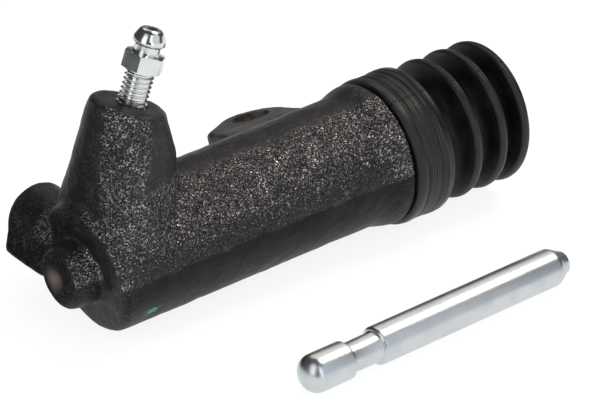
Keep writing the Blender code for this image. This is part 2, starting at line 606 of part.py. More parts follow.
def build_piston(parts, parent, material):
    """The piston, its origin on the bore's axis at its crown: socket for the rod, nose for the cup."""
    nose_end = -PISTON_NOSE_LENGTH
    head_start = nose_end + PISTON_HEAD_LENGTH
    profile = [(PISTON_LENGTH - PISTON_SOCKET_DEPTH - PISTON_SOCKET_CONE, 0.0)]
    profile.append((PISTON_LENGTH - PISTON_SOCKET_DEPTH, PISTON_SOCKET_RADIUS))
    profile += [(PISTON_LENGTH - PISTON_EDGE, PISTON_SOCKET_RADIUS)]
    profile += [(PISTON_LENGTH, PISTON_SOCKET_RADIUS + PISTON_EDGE)]
    profile += [(PISTON_LENGTH, PISTON_RADIUS - PISTON_EDGE), (PISTON_LENGTH - PISTON_EDGE, PISTON_RADIUS)]
    profile += [(PISTON_EDGE, PISTON_RADIUS), (0.0, PISTON_RADIUS - PISTON_EDGE), (0.0, PISTON_NOSE_RADIUS)]
    profile += [(head_start, PISTON_NOSE_RADIUS), (head_start, PISTON_HEAD_RADIUS)]
    profile += [(nose_end, PISTON_HEAD_RADIUS), (nose_end, SPRING_SMALL_RADIUS - 2.0 * SPRING_WIRE_RADIUS)]
    profile.append((nose_end - 2.0 * MM, SPRING_SMALL_RADIUS - 2.2 * SPRING_WIRE_RADIUS))
    profile.append((nose_end - 2.0 * MM, 0.0))
    piston = add_piece("piston", turned_mesh("piston", profile, PISTON_SEGMENTS), parts, material, parent)
    piston.location = (PISTON_CROWN, 0.0, 0.0)
    return piston


def build_cup(parts, parent, material):
    """The rubber cup round the piston's nose, its lips towards the closed end."""
    outer = PISTON_RADIUS
    inner = PISTON_NOSE_RADIUS + SEAT_GAP
    back = -SEAT_GAP
    front = back - CUP_LENGTH
    floor = front + CUP_LIP_DEPTH
    outer_lip = outer - CUP_LIP_WALL
    inner_lip = PISTON_HEAD_RADIUS + SEAT_GAP
    profile = [(back, inner), (back, outer - 0.6 * MM), (back - 0.8 * MM, outer - 0.3 * MM), (front, outer)]
    profile += [(front, outer_lip), (floor, outer_lip - 0.4 * MM), (floor, inner_lip)]
    head_start = PISTON_HEAD_LENGTH - PISTON_NOSE_LENGTH
    profile += [(head_start + SEAT_GAP, inner_lip), (head_start + SEAT_GAP, inner)]
    mesh = turned_mesh("piston_cup", profile, PISTON_SEGMENTS)
    cup = add_piece("piston_cup", mesh, parts, material, parent)
    cup.location = (PISTON_CROWN, 0.0, 0.0)
    return cup


def build_spring(parts, parent, material):
    """The conical return spring: small coil round the piston's nose pin, large coil on the bore's floor."""
    start = PISTON_CROWN - PISTON_NOSE_LENGTH - SPRING_WIRE_RADIUS - SEAT_GAP
    end = -BORE_DEPTH + SPRING_WIRE_RADIUS + SEAT_GAP
    count = int(SPRING_TURNS * SPRING_POINTS_PER_TURN)
    curve = bpy.data.curves.new("return_spring", "CURVE")
    curve.dimensions = "3D"
    curve.bevel_depth = SPRING_WIRE_RADIUS
    curve.bevel_resolution = 2
    curve.use_fill_caps = True
    line = curve.splines.new("POLY")
    line.points.add(count)
    for step in range(count + 1):
        share = step / count
        angle = math.tau * SPRING_TURNS * share
        advance = min(max((share - 0.12) / 0.76, 0.0), 1.0)
        settle = 0.16 * SPRING_WIRE_RADIUS * SPRING_TURNS * share
        radius = SPRING_SMALL_RADIUS + (SPRING_LARGE_RADIUS - SPRING_SMALL_RADIUS) * share
        x = start + (end - start) * advance
        x += (2.2 * SPRING_WIRE_RADIUS + settle) * (share - advance)
        line.points[step].co = (x, radius * math.cos(angle), radius * math.sin(angle), 1.0)
    spring = bpy.data.objects.new("return_spring", curve)
    parts.objects.link(spring)
    curve.materials.append(material)
    spring.parent = parent
    return spring


def build_push_rod(parts, parent, material):
    """The push rod: domed head, neck, main shaft and a tapered tip, along its own X."""
    profile = [(0.0, 0.0)]
    for angle in (20.0, 40.0, 60.0, 80.0):
        turn = math.radians(angle)
        profile.append((ROD_DOME * (1.0 - math.cos(turn)), ROD_RADIUS * math.sin(turn)))
    neck_end = ROD_HEAD_LENGTH + ROD_NECK_LENGTH
    profile += [(ROD_DOME, ROD_RADIUS), (ROD_HEAD_LENGTH - ROD_CHAMFER, ROD_RADIUS)]
    profile += [(ROD_HEAD_LENGTH, ROD_RADIUS - ROD_CHAMFER), (ROD_HEAD_LENGTH, ROD_NECK_RADIUS)]
    profile += [(neck_end, ROD_NECK_RADIUS), (neck_end, ROD_RADIUS - ROD_CHAMFER)]
    shaft_end = ROD_LENGTH - ROD_TIP_CONE - ROD_TIP_DOME
    profile += [(neck_end + ROD_CHAMFER, ROD_RADIUS), (shaft_end, ROD_RADIUS)]
    for angle in (0.0, 30.0, 60.0):
        turn = math.radians(angle)
        x = ROD_LENGTH - ROD_TIP_DOME * (1.0 - math.sin(turn))
        profile.append((x, ROD_TIP_RADIUS * math.cos(turn)))
    profile.append((ROD_LENGTH, 0.0))
    rod = add_piece("push_rod", turned_mesh("push_rod", profile, 40), parts, material, parent)
    rod.location = (ROD_HEAD_X, ROD_HEAD_Y, ROD_RADIUS)
    rod.rotation_euler = (0.0, 0.0, ROD_YAW)
    return rod


def world_corners(pieces):
    """The lowest and highest corner of these pieces."""
    bpy.context.view_layer.update()
    graph = bpy.context.evaluated_depsgraph_get()
    points = []
    for piece in pieces:
        shown = piece.evaluated_get(graph)
        mesh = shown.to_mesh()
        points += [shown.matrix_world @ vertex.co for vertex in mesh.vertices]
        shown.to_mesh_clear()
    low = Vector([min(point[i] for point in points) for i in range(3)])
    high = Vector([max(point[i] for point in points) for i in range(3)])
    return low, high


def build():
    """Model every sub-part, then lay the assembly on the surface about the origin."""
    clear_scene()
    parts = new_collection(OBJECT_NAME)
    cutters = new_collection("cutters")
    iron = new_material("black_painted_cast_iron", (0.025, 0.024, 0.024), 0.55, 0.35)
    rubber = new_material("black_rubber", (0.012, 0.012, 0.011), 0.5, 0.0)
    zinc = new_material("bright_zinc_plate", (0.72, 0.75, 0.78), 0.22, 1.0)
    aluminium = new_material("turned_aluminium", (0.62, 0.63, 0.64), 0.35, 1.0)
    steel = new_material("spring_steel", (0.35, 0.35, 0.36), 0.35, 1.0)

    surface = bpy.data.objects.new("surface_origin", None)
    parts.objects.link(surface)
    lay = bpy.data.objects.new("cylinder_axes", None)
    parts.objects.link(lay)
    lay.parent = surface
    lay.rotation_euler = (0.0, -LAY_TILT, 0.0)

    casting = build_casting(parts, cutters, lay, iron)
    boot = add_piece("boot", boot_mesh(), parts, rubber, lay)
    cylinder = [
        casting,
        boot,
        build_bleeder(parts, cutters, lay, zinc),
        build_piston(parts, lay, aluminium),
        build_cup(parts, lay, rubber),
        build_spring(parts, lay, steel),
    ]
    low, _ = world_corners([casting, boot])
    lay.location = (0.0, 0.0, -low.z)
    rod = build_push_rod(parts, surface, zinc)
    low, high = world_corners([*cylinder, rod])
    surface.location = (-0.5 * (low.x + high.x), -0.5 * (low.y + high.y), -low.z)


build()
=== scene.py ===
"""Looks of the clutch slave cylinder and its loose push rod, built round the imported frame.

Lengths are in metres. Most pieces are drawn in the cylinder's own axes: X runs along the bore towards the
boot, the origin is on the bore's axis at the shoulder where the boot begins, and Z points up through the
bleeder. CYLINDER_AXES then lays them where the frame has them.
"""

import json
import logging
import math
from collections.abc import Sequence
from dataclasses import dataclass
from enum import Enum

import bmesh
import bpy
from mathutils import Matrix, Vector, noise


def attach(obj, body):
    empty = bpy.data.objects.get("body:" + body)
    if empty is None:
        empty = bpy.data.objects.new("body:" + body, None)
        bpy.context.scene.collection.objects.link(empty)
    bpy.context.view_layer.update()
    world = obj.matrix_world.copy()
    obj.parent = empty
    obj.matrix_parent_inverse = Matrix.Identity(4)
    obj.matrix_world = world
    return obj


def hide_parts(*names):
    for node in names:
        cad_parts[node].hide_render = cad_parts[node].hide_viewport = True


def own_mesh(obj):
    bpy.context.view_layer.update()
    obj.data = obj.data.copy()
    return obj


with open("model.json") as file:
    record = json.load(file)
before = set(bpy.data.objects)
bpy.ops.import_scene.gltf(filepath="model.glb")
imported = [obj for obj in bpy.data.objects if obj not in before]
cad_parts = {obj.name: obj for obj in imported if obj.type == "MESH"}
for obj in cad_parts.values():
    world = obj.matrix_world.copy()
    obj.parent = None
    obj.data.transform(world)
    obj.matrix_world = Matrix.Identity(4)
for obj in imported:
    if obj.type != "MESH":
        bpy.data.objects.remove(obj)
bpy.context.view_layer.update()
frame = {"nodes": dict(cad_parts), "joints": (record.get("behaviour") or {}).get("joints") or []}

MM = 0.001
EPSILON = 0.5 * MM
EASED = {"interpolation_type": "SMOOTHSTEP"}
THREAD_OUTLINE = ((0.0, 1.0), (0.2, 1.0), (0.44, 0.0), (0.56, 0.0), (0.8, 1.0), (1.0, 1.0))

Span = tuple[float, float]
Profile = list[Span]
Point = tuple[float, float, float]
Material = bpy.types.Material
Piece = bpy.types.Object
Socket = bpy.types.NodeSocket
Solid = bmesh.types.BMesh

BORE_AXIS = Vector(next(j["axis"] for j in frame["joints"] if j["name"] == "piston_slide")).normalized()
SHOULDER = Vector((0.02922, 0.01205, 0.02091))


def axes_at(origin: Vector, along: Vector, across: Vector, normal: Vector) -> Matrix:
    """The matrix that takes X, Y and Z to three directions at a place.

    Args:
        origin: The place.
        along: Where X goes.
        across: Where Y goes.
        normal: Where Z goes.

    Returns:
        The matrix.
    """
    placed = Matrix((along, across, normal)).transposed().to_4x4()
    placed.translation = origin
    return placed


CYLINDER_AXES = axes_at(SHOULDER, BORE_AXIS, Vector((0, 1, 0)), BORE_AXIS.cross(Vector((0, 1, 0))))

log = logging.getLogger("clutch_slave_cylinder")


class Body(Enum):
    """The bodies of the frame that new pieces ride on."""

    CYLINDER = "cylinder"
    BLEEDER = "bleeder"


class Join(Enum):
    """What a Boolean does with its second solid."""

    UNION = "UNION"
    DIFFERENCE = "DIFFERENCE"
    INTERSECT = "INTERSECT"


# Finishes


def linear(code: str) -> tuple[float, float, float, float]:
    """An sRGB hex colour as linear light.

    Args:
        code: Six hex digits after a hash.

    Returns:
        Red, green, blue and a full alpha.
    """
    parts = [int(code[i : i + 2], 16) / 255 for i in (1, 3, 5)]
    values = [p / 12.92 if p <= 0.04045 else ((p + 0.055) / 1.055) ** 2.4 for p in parts]
    return (*values, 1.0)


class Recipe:
    """The nodes of one material, whose patterns read the Object coordinates held in place."""

    def __init__(self, name: str) -> None:
        """Start an empty material.

        Args:
            name: The material's name.
        """
        self.material = bpy.data.materials.new(name)
        self.material.use_nodes = True
        self.tree = self.material.node_tree
        self.tree.nodes.clear()
        self.place = self.add("TexCoord", output="Object")

    def add(
        self, kind: str, inputs: dict | Sequence = (), output: int | str = 0, **settings: object
    ) -> Socket | None:
        """Add a shader node with its settings and links.

        Args:
            kind: The node's type, without the prefix that all shader nodes share.
            inputs: A value, a hex colour or a socket to link from, for each input in order or by its name.
            output: The output that is wanted.
            **settings: The node's own properties.

        Returns:
            The wanted output, or nothing for a node that has none.
        """
        node = self.tree.nodes.new(f"ShaderNode{kind}")
        for name, value in settings.items():
            setattr(node, name, value)
        for socket, value in inputs.items() if isinstance(inputs, dict) else enumerate(inputs):
            if isinstance(value, Socket):
                self.tree.links.new(value, node.inputs[socket])
            else:
                node.inputs[socket].default_value = linear(value) if isinstance(value, str) else value
        return node.outputs[output] if len(node.outputs) else None

    def clouded(self, pattern: Socket, span: Span, low: str | Socket, high: str | Socket) -> Socket:
        """A colour that goes from low to high while a pattern rises through a span."""
        share = self.add("MapRange", (pattern, *span, 0.0, 1.0), **EASED)
        return self.add("Mix", {0: share, 6: low, 7: high}, 2, data_type="RGBA")

    def shaded(self, inputs: dict) -> Material:
        """Close the material with a Principled shader that has these inputs."""
        self.add("OutputMaterial", {"Surface": self.add("BsdfPrincipled", inputs)})
        return self.material


@dataclass(frozen=True)
class PaintedSandCasting:
    """Grey iron cast in sand under one thin coat of black paint.

    On the flanks of the upper half the sand's grains stand through the paint. Each is tilted its own way, so
    some of them glitter, and the bare ones show pinkish grey iron. Where they show is a painted glint zone,
    laid where the lamps' glints and highlight band fall on top of real wear, so they crowd high on the barrel
    and near its ends. Below a line just above the bore's axis, and on faces that look along the bore, the
    skin is much smoother, and below that line its shine is turned down as painted shade.
    """

    name: str = "black_paint_on_sand_cast_iron"
    grain_size: float = 0.62 * MM
    grit_size: float = 0.3 * MM
    swell_size: float = 4.0 * MM
    grain_tilt: Span = (0.05, 1.0)
    dark: str = "#0f0f10"
    light: str = "#171616"
    bare: str = "#b9b2b2"
    roughness: Span = (0.46, 0.27)
    ior: float = 1.4
    # Painted shade: the shine is lower below the line that darkens the underside.
    shaded_shine: Span = (0.22, 0.42)
    shade_line: float = 1.5 * MM
    shade_line_fade: Span = (0.6 * MM, 2.3 * MM)
    shade_line_wobble: float = 2.4 * MM
    ahead: Span = (0.0, 0.2)
    behind: Span = (-0.97, -0.86)
    foot_top: Span = (21.5 * MM, 25.5 * MM)
    front_side: Span = (-5.5 * MM, -0.5 * MM)
    boss_side: Span = (12.5 * MM, 14.0 * MM)
    boss_smooth: Span = (18.0 * MM, 21.0 * MM)
    least_wear_and_glint: float = 0.1
    bare_chance: Span = (0.6, 0.98)
    bare_on_grain: tuple[float, ...] = (0.44, 0.58, 0.08, 1.0)
    bare_on_swell: tuple[float, ...] = (0.4, 0.62, 0.45, 1.0)
    most_bare: float = 0.95
    tone_span: Span = (0.35, 0.65)
    # Painted highlight band: where the bare, glinting grains crowd along the barrel.
    glint_band_height: float = 13 * MM
    barrel_middle: float = -49 * MM
    end_reach: Span = (37 * MM, 47 * MM)
    high_glint_crowding: Span = (-0.22, 0.12)
    end_glint_crowding: Span = (-0.22, 0.2)
    # Colour of the rubbed spot on the nub, which also paints a soft sheen of light on its end.
    copper_and_sheen: str = "#8d7a70"
    dimple: Point = (-102.2 * MM, 2.3 * MM, -0.8 * MM)
    dimple_span: Span = (0.6 * MM, 5.8 * MM)
    dimple_wobble: float = 2.0 * MM
    most_rubbed_and_sheen: float = 0.5
    dab: str = "#2f9a6c"
    dab_place: Point = (-54.98 * MM, -3.75 * MM, 9.49 * MM)
    dab_size: Point = (2.3 * MM, 2.3 * MM, 1.2 * MM)
    dab_span: Span = (2.1, 2.6)
    dab_wobble: float = 3.2
    most_dabbed: float = 0.85
    grit_relief: Span = (0.035 * MM, 0.1)
    grain_relief: Span = (0.2 * MM, 0.6)

    def along_axis(self, nodes: Recipe, axis: int) -> Socket:
        """How far a place lies along one of the cylinder's axes.

        Args:
            nodes: The material's nodes.
            axis: The axis's number.

        Returns:
            The coordinate.
        """
        direction = CYLINDER_AXES.to_3x3().col[axis]
        reach = nodes.add("VectorMath", (nodes.place, direction), "Value", operation="DOT_PRODUCT")
        return nodes.add("Math", (reach, direction.dot(SHOULDER)), operation="SUBTRACT")

    def above_shaded_underside(self, nodes: Recipe, rise: Socket, wobble: Socket) -> Socket:
        """How far a place lies above the underside, whose shine is turned down as painted shade, along a
        slightly uneven line.

        Args:
            nodes: The material's nodes.
            rise: The place's height in the cylinder's axes.
            wobble: A slow pattern that makes the line uneven.

        Returns:
            A share from 0 to 1.
        """
        uneven = nodes.add("Math", (wobble, self.shade_line_wobble, rise), operation="MULTIPLY_ADD")
        low, high = (self.shade_line + fade for fade in self.shade_line_fade)
        return nodes.add("MapRange", (uneven, low, high, 0.0, 1.0), **EASED)

    def wear_and_glint_sides(self, nodes: Recipe, rise: Socket, above: Socket) -> Socket:
        """How much bare iron may show: real wear laid out as a painted glint zone where the lamps' glints
        fall.

        Args:
            nodes: The material's nodes.
            rise: The place's height in the cylinder's axes.
            above: How far the place lies above the underside's painted shade.

        Returns:
            Most on the upper half's front flank and on a strip of the pipe boss, where the lamps' glints
            fall, little elsewhere.
        """
        aside = self.along_axis(nodes, 1)
        facing = nodes.add("TexCoord", output="Normal")
        along = nodes.add("VectorMath", (facing, BORE_AXIS), "Value", operation="DOT_PRODUCT")
        # Painted glint zone: which faces may show bare, glinting grains follows where the lamps' glints fall,
        # on top of real wear.
        spans = (
            (along, *self.ahead, 1.0, 0.0),
            (rise, *self.foot_top, 1.0, 0.0),
            (along, *self.behind, 0.0, 1.0),
            (aside, *self.front_side, 1.0, 0.0),
            (aside, *self.boss_side, 0.0, 1.0),
            (aside, *self.boss_smooth, 1.0, 0.0),
        )
        wear_and_glint, foot, behind, front, boss, boss_end = (nodes.add("MapRange", span, **EASED) for span in spans)
        strip = nodes.add("Math", (boss, boss_end), operation="MULTIPLY")
        limits = ((foot, "MAXIMUM"), (behind, "MULTIPLY"), (front, "MULTIPLY"))
        for part, operation in (*limits, (strip, "MAXIMUM"), (above, "MULTIPLY")):
            wear_and_glint = nodes.add("Math", (wear_and_glint, part), operation=operation)
        return nodes.add("MapRange", (wear_and_glint, 0.0, 1.0, self.least_wear_and_glint, 1.0), **EASED)

    def glint_crowding(self, nodes: Recipe, rise: Socket) -> Socket:
        """How crowded the bare grains are, a painted glint band: sparse low on the barrel's middle, dense
        high up and at both ends.

        Args:
            nodes: The material's nodes.
            rise: The place's height in the cylinder's axes.

        Returns:
            What is added to each grain's chance to be bare.
        """
        high = nodes.add("MapRange", (rise, self.shade_line, self.glint_band_height, *self.high_glint_crowding), **EASED)
        middle = nodes.add("Math", (self.along_axis(nodes, 0), -self.barrel_middle), operation="ADD")
        away = nodes.add("Math", (middle,), operation="ABSOLUTE")
        ends = nodes.add("MapRange", (away, *self.end_reach, *self.end_glint_crowding), **EASED)
        return nodes.add("Math", (high, ends), operation="MAXIMUM")

    def bare_iron(self, nodes: Recipe, cell: Socket, patterns: Sequence[tuple], rise: Socket) -> Socket:
        """Where grains stand bare, crowded where the painted glint band runs.

        Args:
            nodes: The material's nodes.
            cell: A random colour for each grain.
            patterns: Rows of a pattern, the span that it rises through, and the shares that it gives.
            rise: The place's height in the cylinder's axes.

        Returns:
            The share of bare iron.
        """
        chance = nodes.add("SeparateColor", (cell,))
        chance = nodes.add("Math", (chance, self.glint_crowding(nodes, rise)), operation="ADD")
        bare = nodes.add("MapRange", (chance, *self.bare_chance, 0.0, self.most_bare), **EASED)
        for pattern in patterns:
            part = nodes.add("MapRange", pattern, **EASED) if len(pattern) > 1 else pattern[0]
            bare = nodes.add("Math", (bare, part), operation="MULTIPLY")
        return bare

    def dabbed(self, nodes: Recipe, grain: Socket) -> Socket:
        """How far a place is covered by the dab of green marking paint.

        Args:
            nodes: The material's nodes.
            grain: The pattern that frays the dab's edge.

        Returns:
            The share that the dab covers.
        """
        offset = nodes.add("VectorMath", (nodes.place, self.dab_place), operation="SUBTRACT")
        scaled = nodes.add("VectorMath", (offset, self.dab_size), operation="DIVIDE")
        reach = nodes.add("VectorMath", (scaled,), "Value", operation="LENGTH")
        edge = nodes.add("Math", (grain, self.dab_wobble, reach), operation="MULTIPLY_ADD")
        return nodes.add("MapRange", (edge, *self.dab_span, self.most_dabbed, 0.0), **EASED)

    def rubbed_and_sheen(self, nodes: Recipe, grain: Socket) -> Socket:
        """How far the paint is rubbed off on the end's centre nub, widened into a painted sheen of soft light
        on its end.

        Args:
            nodes: The material's nodes.
            grain: The pattern that makes the spot uneven.

        Returns:
            The share of the rubbed spot and its painted sheen.
        """
        centre = CYLINDER_AXES @ Vector(self.dimple)
        near = nodes.add("VectorMath", (nodes.place, centre), "Value", operation="DISTANCE")
        uneven = nodes.add("Math", (grain, self.dimple_wobble, near), operation="MULTIPLY_ADD")
        return nodes.add("MapRange", (uneven, *self.dimple_span, self.most_rubbed_and_sheen, 0.0), **EASED)

    def facets(self, nodes: Recipe, cell: Socket, wear_and_glint: Socket) -> Socket:
        """The tilt of each sand grain where the skin is rough.

        Args:
            nodes: The material's nodes.
            cell: A random colour for each grain.
            wear_and_glint: How rough the skin is.

        Returns:
            The tilted normal.
        """
        hashed = nodes.add("TexWhiteNoise", {"Vector": cell}, "Color")
        tilt = nodes.add("VectorMath", (hashed, (0.5, 0.5, 0.5)), operation="SUBTRACT")
        much = nodes.add("MapRange", (wear_and_glint, self.least_wear_and_glint, 1.0, *self.grain_tilt), **EASED)
        tilt = nodes.add("VectorMath", {0: tilt, "Scale": much}, operation="SCALE")
        facing = nodes.add("TexCoord", output="Normal")
        tilted = nodes.add("VectorMath", (facing, tilt), operation="ADD")
        return nodes.add("VectorMath", (tilted,), operation="NORMALIZE")

    def relief(self, nodes: Recipe, grit: Socket, grain: Socket, wear_and_glint: Socket, normal: Socket) -> Socket:
        """The bumps of the grit and the grains, stronger where the skin is rough.

        Args:
            nodes: The material's nodes.
            grit: The fine pattern.
            grain: The coarse pattern.
            wear_and_glint: How rough the skin is.
            normal: The facets' normal.

        Returns:
            The bumped normal.
        """
        for height, depth, least in ((grit, *self.grit_relief), (grain, *self.grain_relief)):
            strength = nodes.add("MapRange", (wear_and_glint, 0.0, 1.0, least, 1.0), **EASED)
            inputs = {"Height": height, "Distance": depth, "Strength": strength, "Normal": normal}
            normal = nodes.add("Bump", inputs)
        return normal

    def make(self) -> Material:
        """Build the material.

        Returns:
            The material.
        """
        nodes = Recipe(self.name)
        inputs = {"Vector": nodes.place, "Scale": 1 / self.grain_size, "Detail": 2.0, "Roughness": 0.6}
        grain = nodes.add("TexNoise", inputs)
        inputs = {"Vector": nodes.place, "Scale": 1 / self.grit_size, "Randomness": 1.0}
        grit = nodes.add("TexVoronoi", inputs, "Distance")
        cell = grit.node.outputs["Color"]
        swell = nodes.add("TexNoise", {"Vector": nodes.place, "Scale": 1 / self.swell_size, "Detail": 3.0})
        rise = self.along_axis(nodes, 2)
        # Painted shade: below this line the underside's shine is turned down.
        above = self.above_shaded_underside(nodes, rise, swell)
        # The wear mask is partly a painted glint zone, laid where the lamps' glints fall.
        wear_and_glint = self.wear_and_glint_sides(nodes, rise, above)
        patterns = ((grain, *self.bare_on_grain), (swell, *self.bare_on_swell), (wear_and_glint,))
        bare = self.bare_iron(nodes, cell, patterns, rise)
        tone = nodes.clouded(swell, self.tone_span, self.dark, self.light)
        dabbed, rubbed_and_sheen = self.dabbed(nodes, grain), self.rubbed_and_sheen(nodes, grain)
        for share, colour in ((bare, self.bare), (dabbed, self.dab), (rubbed_and_sheen, self.copper_and_sheen)):
            tone = nodes.add("Mix", {0: share, 6: tone, 7: colour}, 2, data_type="RGBA")
        return nodes.shaded(
            {
                "Base Color": tone,
                "Metallic": bare,
                "Roughness": nodes.add("MapRange", (wear_and_glint, self.least_wear_and_glint, 1.0, *self.roughness), **EASED),
                "IOR": self.ior,
                # Painted shade: the shine drops below the line, darkening the underside.
                "Specular IOR Level": nodes.add("MapRange", (above, 0.0, 1.0, *self.shaded_shine), **EASED),
                "Normal": self.relief(nodes, grit, grain, wear_and_glint, self.facets(nodes, cell, wear_and_glint)),
            }
        )


@dataclass(frozen=True)
class CutIron:
    """Grey iron as drilled and faced: a brownish satin metal with fine tool rings about the bore's axis."""

    name: str = "machined_grey_iron"
    blotch_size: float = 3 * MM
    ring_pitch: float = 0.25 * MM
    ring_depth: float = 0.02 * MM
    span: Span = (0.3, 0.7)
    roughness: Span = (0.28, 0.45)
    metallic: float = 0.85
    dark: str = "#5d554e"
    light: str = "#93887d"

    def make(self) -> Material:
        """Build the material.

        Returns:
            The material.
        """
        nodes = Recipe(self.name)
        blotch = nodes.add("TexNoise", {"Vector": nodes.place, "Scale": 1 / self.blotch_size, "Detail": 4.0})
        inputs = {"Vector": nodes.place, "Scale": 0.05 / self.ring_pitch, "Distortion": 1.5}
        rings = nodes.add("TexWave", inputs, 1, wave_type="RINGS", rings_direction="X")
        return nodes.shaded(
            {
                "Base Color": nodes.clouded(blotch, self.span, self.dark, self.light),
                "Metallic": self.metallic,
                "Roughness": nodes.add("MapRange", (blotch, *self.span, *self.roughness), **EASED),
                "Normal": nodes.add("Bump", {"Height": rings, "Distance": self.ring_depth, "Strength": 0.5}),
            }
        )


@dataclass(frozen=True)
class MouldedRubber:
    """Black EPDM from a polished mould: satin, with painted shade that dims its shine in the folds, a grey
    bloom and tool rings.
    """

    name: str = "moulded_epdm_rubber"
    haze_size: float = 6 * MM
    skin_size: float = 0.5 * MM
    ring_pitch: float = 0.45 * MM
    dark: str = "#0f0f0f"
    bloom: str = "#1b1b1a"
    roughness: Span = (0.36, 0.5)
    haze_span: Span = (0.3, 0.7)
    bloom_span: Span = (0.35, 0.75)
    skin_depth: float = 0.05 * MM
    skin_share: float = 0.5
    ior: float = 1.42
    # Painted shade: the shine fades from the crests towards the folds' roots.
    fold_shade_span: Span = (15.5 * MM, 19.6 * MM)
    shaded_shine: Span = (0.22, 0.5)
    seam: float | None = None
    seam_tone: str = "#030303"
    seam_radius: float = 18.6 * MM
    seam_half: Span = (0.16 * MM, 0.36 * MM)
    seam_depth: float = -6.0
    seam_wobble: float = 0.5 * MM
    seam_rise: Span = (-0.5 * MM, 0.3 * MM)

    def make(self) -> Material:
        """Build the material.

        Returns:
            The material.
        """
        nodes = Recipe(self.name)
        haze = nodes.add("TexNoise", {"Vector": nodes.place, "Scale": 1 / self.haze_size, "Detail": 5.0})
        skin = nodes.add("TexNoise", {"Vector": nodes.place, "Scale": 1 / self.skin_size, "Detail": 2.0})
        along = nodes.add("SeparateXYZ", (nodes.place,))
        inputs = {"W": along, "Scale": 1 / self.ring_pitch, "Detail": 1.0}
        rings = nodes.add("TexNoise", inputs, noise_dimensions="1D")
        height = nodes.add("Math", (skin, self.skin_share, rings), operation="MULTIPLY_ADD")
        tone = nodes.clouded(haze, self.bloom_span, self.dark, self.bloom)
        if self.seam is not None:
            line = self.seam_line(nodes, skin)
            tone = nodes.add("Mix", {0: line, 6: tone, 7: self.seam_tone}, 2, data_type="RGBA")
            height = nodes.add("Math", (line, self.seam_depth, height), operation="MULTIPLY_ADD")
        reach = self.distance_from_bore(nodes)
        return nodes.shaded(
            {
                "Base Color": tone,
                "Roughness": nodes.add("MapRange", (haze, *self.haze_span, *self.roughness), **EASED),
                "IOR": self.ior,
                # Painted shade: the shine fades towards the folds' roots.
                "Specular IOR Level": nodes.add("MapRange", (reach, *self.fold_shade_span, *self.shaded_shine), **EASED),
                "Normal": nodes.add("Bump", {"Height": height, "Distance": self.skin_depth, "Strength": 0.6}),
            }
        )

    def distance_from_bore(self, nodes: Recipe) -> Socket:
        """How far a place lies from the bore's axis.

        Args:
            nodes: The material's nodes.

        Returns:
            The distance.
        """
        offset = nodes.add("VectorMath", (nodes.place, SHOULDER), operation="SUBTRACT")
        across = nodes.add("VectorMath", (offset, BORE_AXIS), operation="CROSS_PRODUCT")
        return nodes.add("VectorMath", (across,), "Value", operation="LENGTH")

    def seam_line(self, nodes: Recipe, wobble: Socket) -> Socket:
        """Where the mould's halves met: a fine line along the collar and the crests.

        Args:
            nodes: The material's nodes.
            wobble: A fine pattern that makes the line uneven.

        Returns:
            A share from 0 to 1.
        """
        turn = CYLINDER_AXES.to_3x3()
        outward = turn @ Vector((0, -math.cos(self.seam), math.sin(self.seam)))
        beside = turn @ Vector((0, math.sin(self.seam), math.cos(self.seam)))
        aside = nodes.add("VectorMath", (nodes.place, beside), "Value", operation="DOT_PRODUCT")
        aside = nodes.add("Math", (wobble, self.seam_wobble, aside), operation="MULTIPLY_ADD")
        middle = beside.dot(SHOULDER) + 0.5 * self.seam_wobble
        aside = nodes.add("Math", (aside, middle), operation="SUBTRACT")
        aside = nodes.add("Math", (aside,), operation="ABSOLUTE")
        reach = nodes.add("VectorMath", (nodes.place, outward), "Value", operation="DOT_PRODUCT")
        low, high = (outward.dot(SHOULDER) + self.seam_radius + rise for rise in self.seam_rise)
        near = nodes.add("MapRange", (aside, *self.seam_half, 1.0, 0.0), **EASED)
        crests = nodes.add("MapRange", (reach, low, high, 0.0, 1.0), **EASED)
        return nodes.add("Math", (near, crests), operation="MULTIPLY")


@dataclass(frozen=True)
class ZincPlate:
    """Bright zinc plate with a blue passivate over turned steel: mirror-like, cool, and faintly ringed."""

    name: str
    axis: Vector
    light: str
    tint: str
    roughness: Span = (0.15, 0.22)
    rough_span: Span = (0.3, 0.7)
    tone_span: Span = (0.4, 0.7)
    ring_pitch: float = 0.22 * MM
    ring_depth: float = 0.012 * MM
    cloud_size: float = 5 * MM

    def make(self) -> Material:
        """Build the material.

        Returns:
            The material.
        """
        nodes = Recipe(self.name)
        along = nodes.add("VectorMath", (nodes.place, self.axis), "Value", operation="DOT_PRODUCT")
        inputs = {"W": along, "Scale": 1 / self.ring_pitch, "Detail": 2.0}
        rings = nodes.add("TexNoise", inputs, noise_dimensions="1D")
        cloud = nodes.add("TexNoise", {"Vector": nodes.place, "Scale": 1 / self.cloud_size, "Detail": 3.0})
        return nodes.shaded(
            {
                "Base Color": nodes.clouded(cloud, self.tone_span, self.light, self.tint),
                "Metallic": 1.0,
                "Roughness": nodes.add("MapRange", (cloud, *self.rough_span, *self.roughness), **EASED),
                "Normal": nodes.add("Bump", {"Height": rings, "Distance": self.ring_depth, "Strength": 0.35}),
            }
        )


